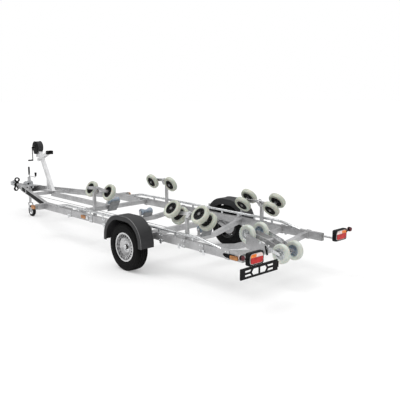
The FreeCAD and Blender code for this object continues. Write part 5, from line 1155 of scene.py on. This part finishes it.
# %% [markdown]
# ## Studio
# The trailer stands on a white ground in soft, even light from above, and its own shadow is the only
# grey on the floor. A white floor lit to white would wash the zinc out, so the floor glows a little
# for the camera alone and lights the steel only by its own bounce.

# %% Floor
def show_camera(tree, lit, shown, share):
    """Keeps one shader for light and shadow, and mixes in another for what the camera sees."""
    camera_ray = add_node(tree, "LightPath").outputs["Is Camera Ray"]
    if share < 1:
        camera_ray = add_node(tree, "MapRange", Value=camera_ray, To_Max=share)
    mix = add_node(tree, "MixShader", Fac=camera_ray)
    tree.links.new(lit.outputs[0], mix.inputs[1])
    tree.links.new(shown.outputs[0], mix.inputs[2])
    return mix


finish = bpy.data.materials.new("pale_ground")
finish.use_nodes = True
tree = finish.node_tree
ground_shader = set_sockets(tree.nodes["Principled BSDF"], Base_Color=(0.8, 0.8, 0.8, 1), Roughness=0.9,
                            Specular_IOR_Level=0.0)
glow = add_node(tree, "Emission", Strength=1.0)
set_sockets(tree.nodes["Material Output"], Surface=show_camera(tree, ground_shader, glow, 0.28))
FLOOR_HALF = 600
ground_mesh = bpy.data.meshes.new("studio_floor")
ground_mesh.from_pydata([(x, y, 0) for x, y in box_corners(FLOOR_HALF, FLOOR_HALF)], [], [(0, 1, 2, 3)])
ground_mesh.materials.append(finish)
ground = bpy.data.objects.new("studio_floor", ground_mesh)
bpy.context.scene.collection.objects.link(ground)
print("floor laid")

# %% World light and key lamp
FROM_ABOVE_REAR = (-0.34, 0.0, 1.0)
world = bpy.data.worlds.new("studio_air")
bpy.context.scene.world = world
world.use_nodes = True
tree = world.node_tree
height = add_node(tree, "VectorMath")
height.operation = "DOT_PRODUCT"
height.inputs[1].default_value = FROM_ABOVE_REAR
tree.links.new(add_node(tree, "TexCoord").outputs["Generated"], height.inputs[0])
level = add_node(tree, "MapRange", Value=height.outputs["Value"], To_Min=0.3, To_Max=1.45)
air = set_sockets(tree.nodes["Background"], Color=(1, 1, 1, 1), Strength=level)
backdrop = add_node(tree, "Background", Color=(1, 1, 1, 1), Strength=1.0)
set_sockets(tree.nodes["World Output"], Surface=show_camera(tree, air, backdrop, 1))


def aim(way):
    """The turn that points a lamp or camera a given way, its top up."""
    return Vector(way).to_track_quat("-Z", "Y").to_matrix().to_4x4()


key = bpy.data.lights.new("key_light", "SUN")
key.energy = 1.1
key.angle = math.radians(35)
key_lamp = bpy.data.objects.new("key_light", key)
key_lamp.matrix_world = MOVE((0, 0, 6)) @ aim((-0.45, -0.35, -1))
bpy.context.scene.collection.objects.link(key_lamp)
print("studio lit")

# %% [markdown]
# ## Camera
# The photograph looks at the trailer's left rear corner from a standing height, a little downwards.
# The camera's place and focal length come from lining up the rails, both wheels and both lamps.

# %% Camera
PICTURE_WIDE = 400
FOCAL_PIXELS = 600
SENSOR = 36
HEADING = math.radians(42.852)
PITCH = math.radians(9.913)
ROLL = -0.23  # degrees
eye = Vector((axle_x - 6.39, 5.59, 2.318))
level = math.cos(PITCH)
look = Vector((math.cos(HEADING) * level, -math.sin(HEADING) * level, -math.sin(PITCH)))
lens = bpy.data.cameras.new("studio_camera")
lens.sensor_width = SENSOR
lens.lens = FOCAL_PIXELS * SENSOR / PICTURE_WIDE
lens.clip_end = 200
camera = bpy.data.objects.new("studio_camera", lens)
camera.matrix_world = MOVE(eye) @ aim(look) @ spin(ROLL, "Z")
bpy.context.scene.collection.objects.link(camera)
bpy.context.scene.camera = camera
bpy.context.scene.view_settings.view_transform = "Standard"
print("focal length %.1f mm" % lens.lens)

# %% Bring the scene up to date
bpy.context.view_layer.update()
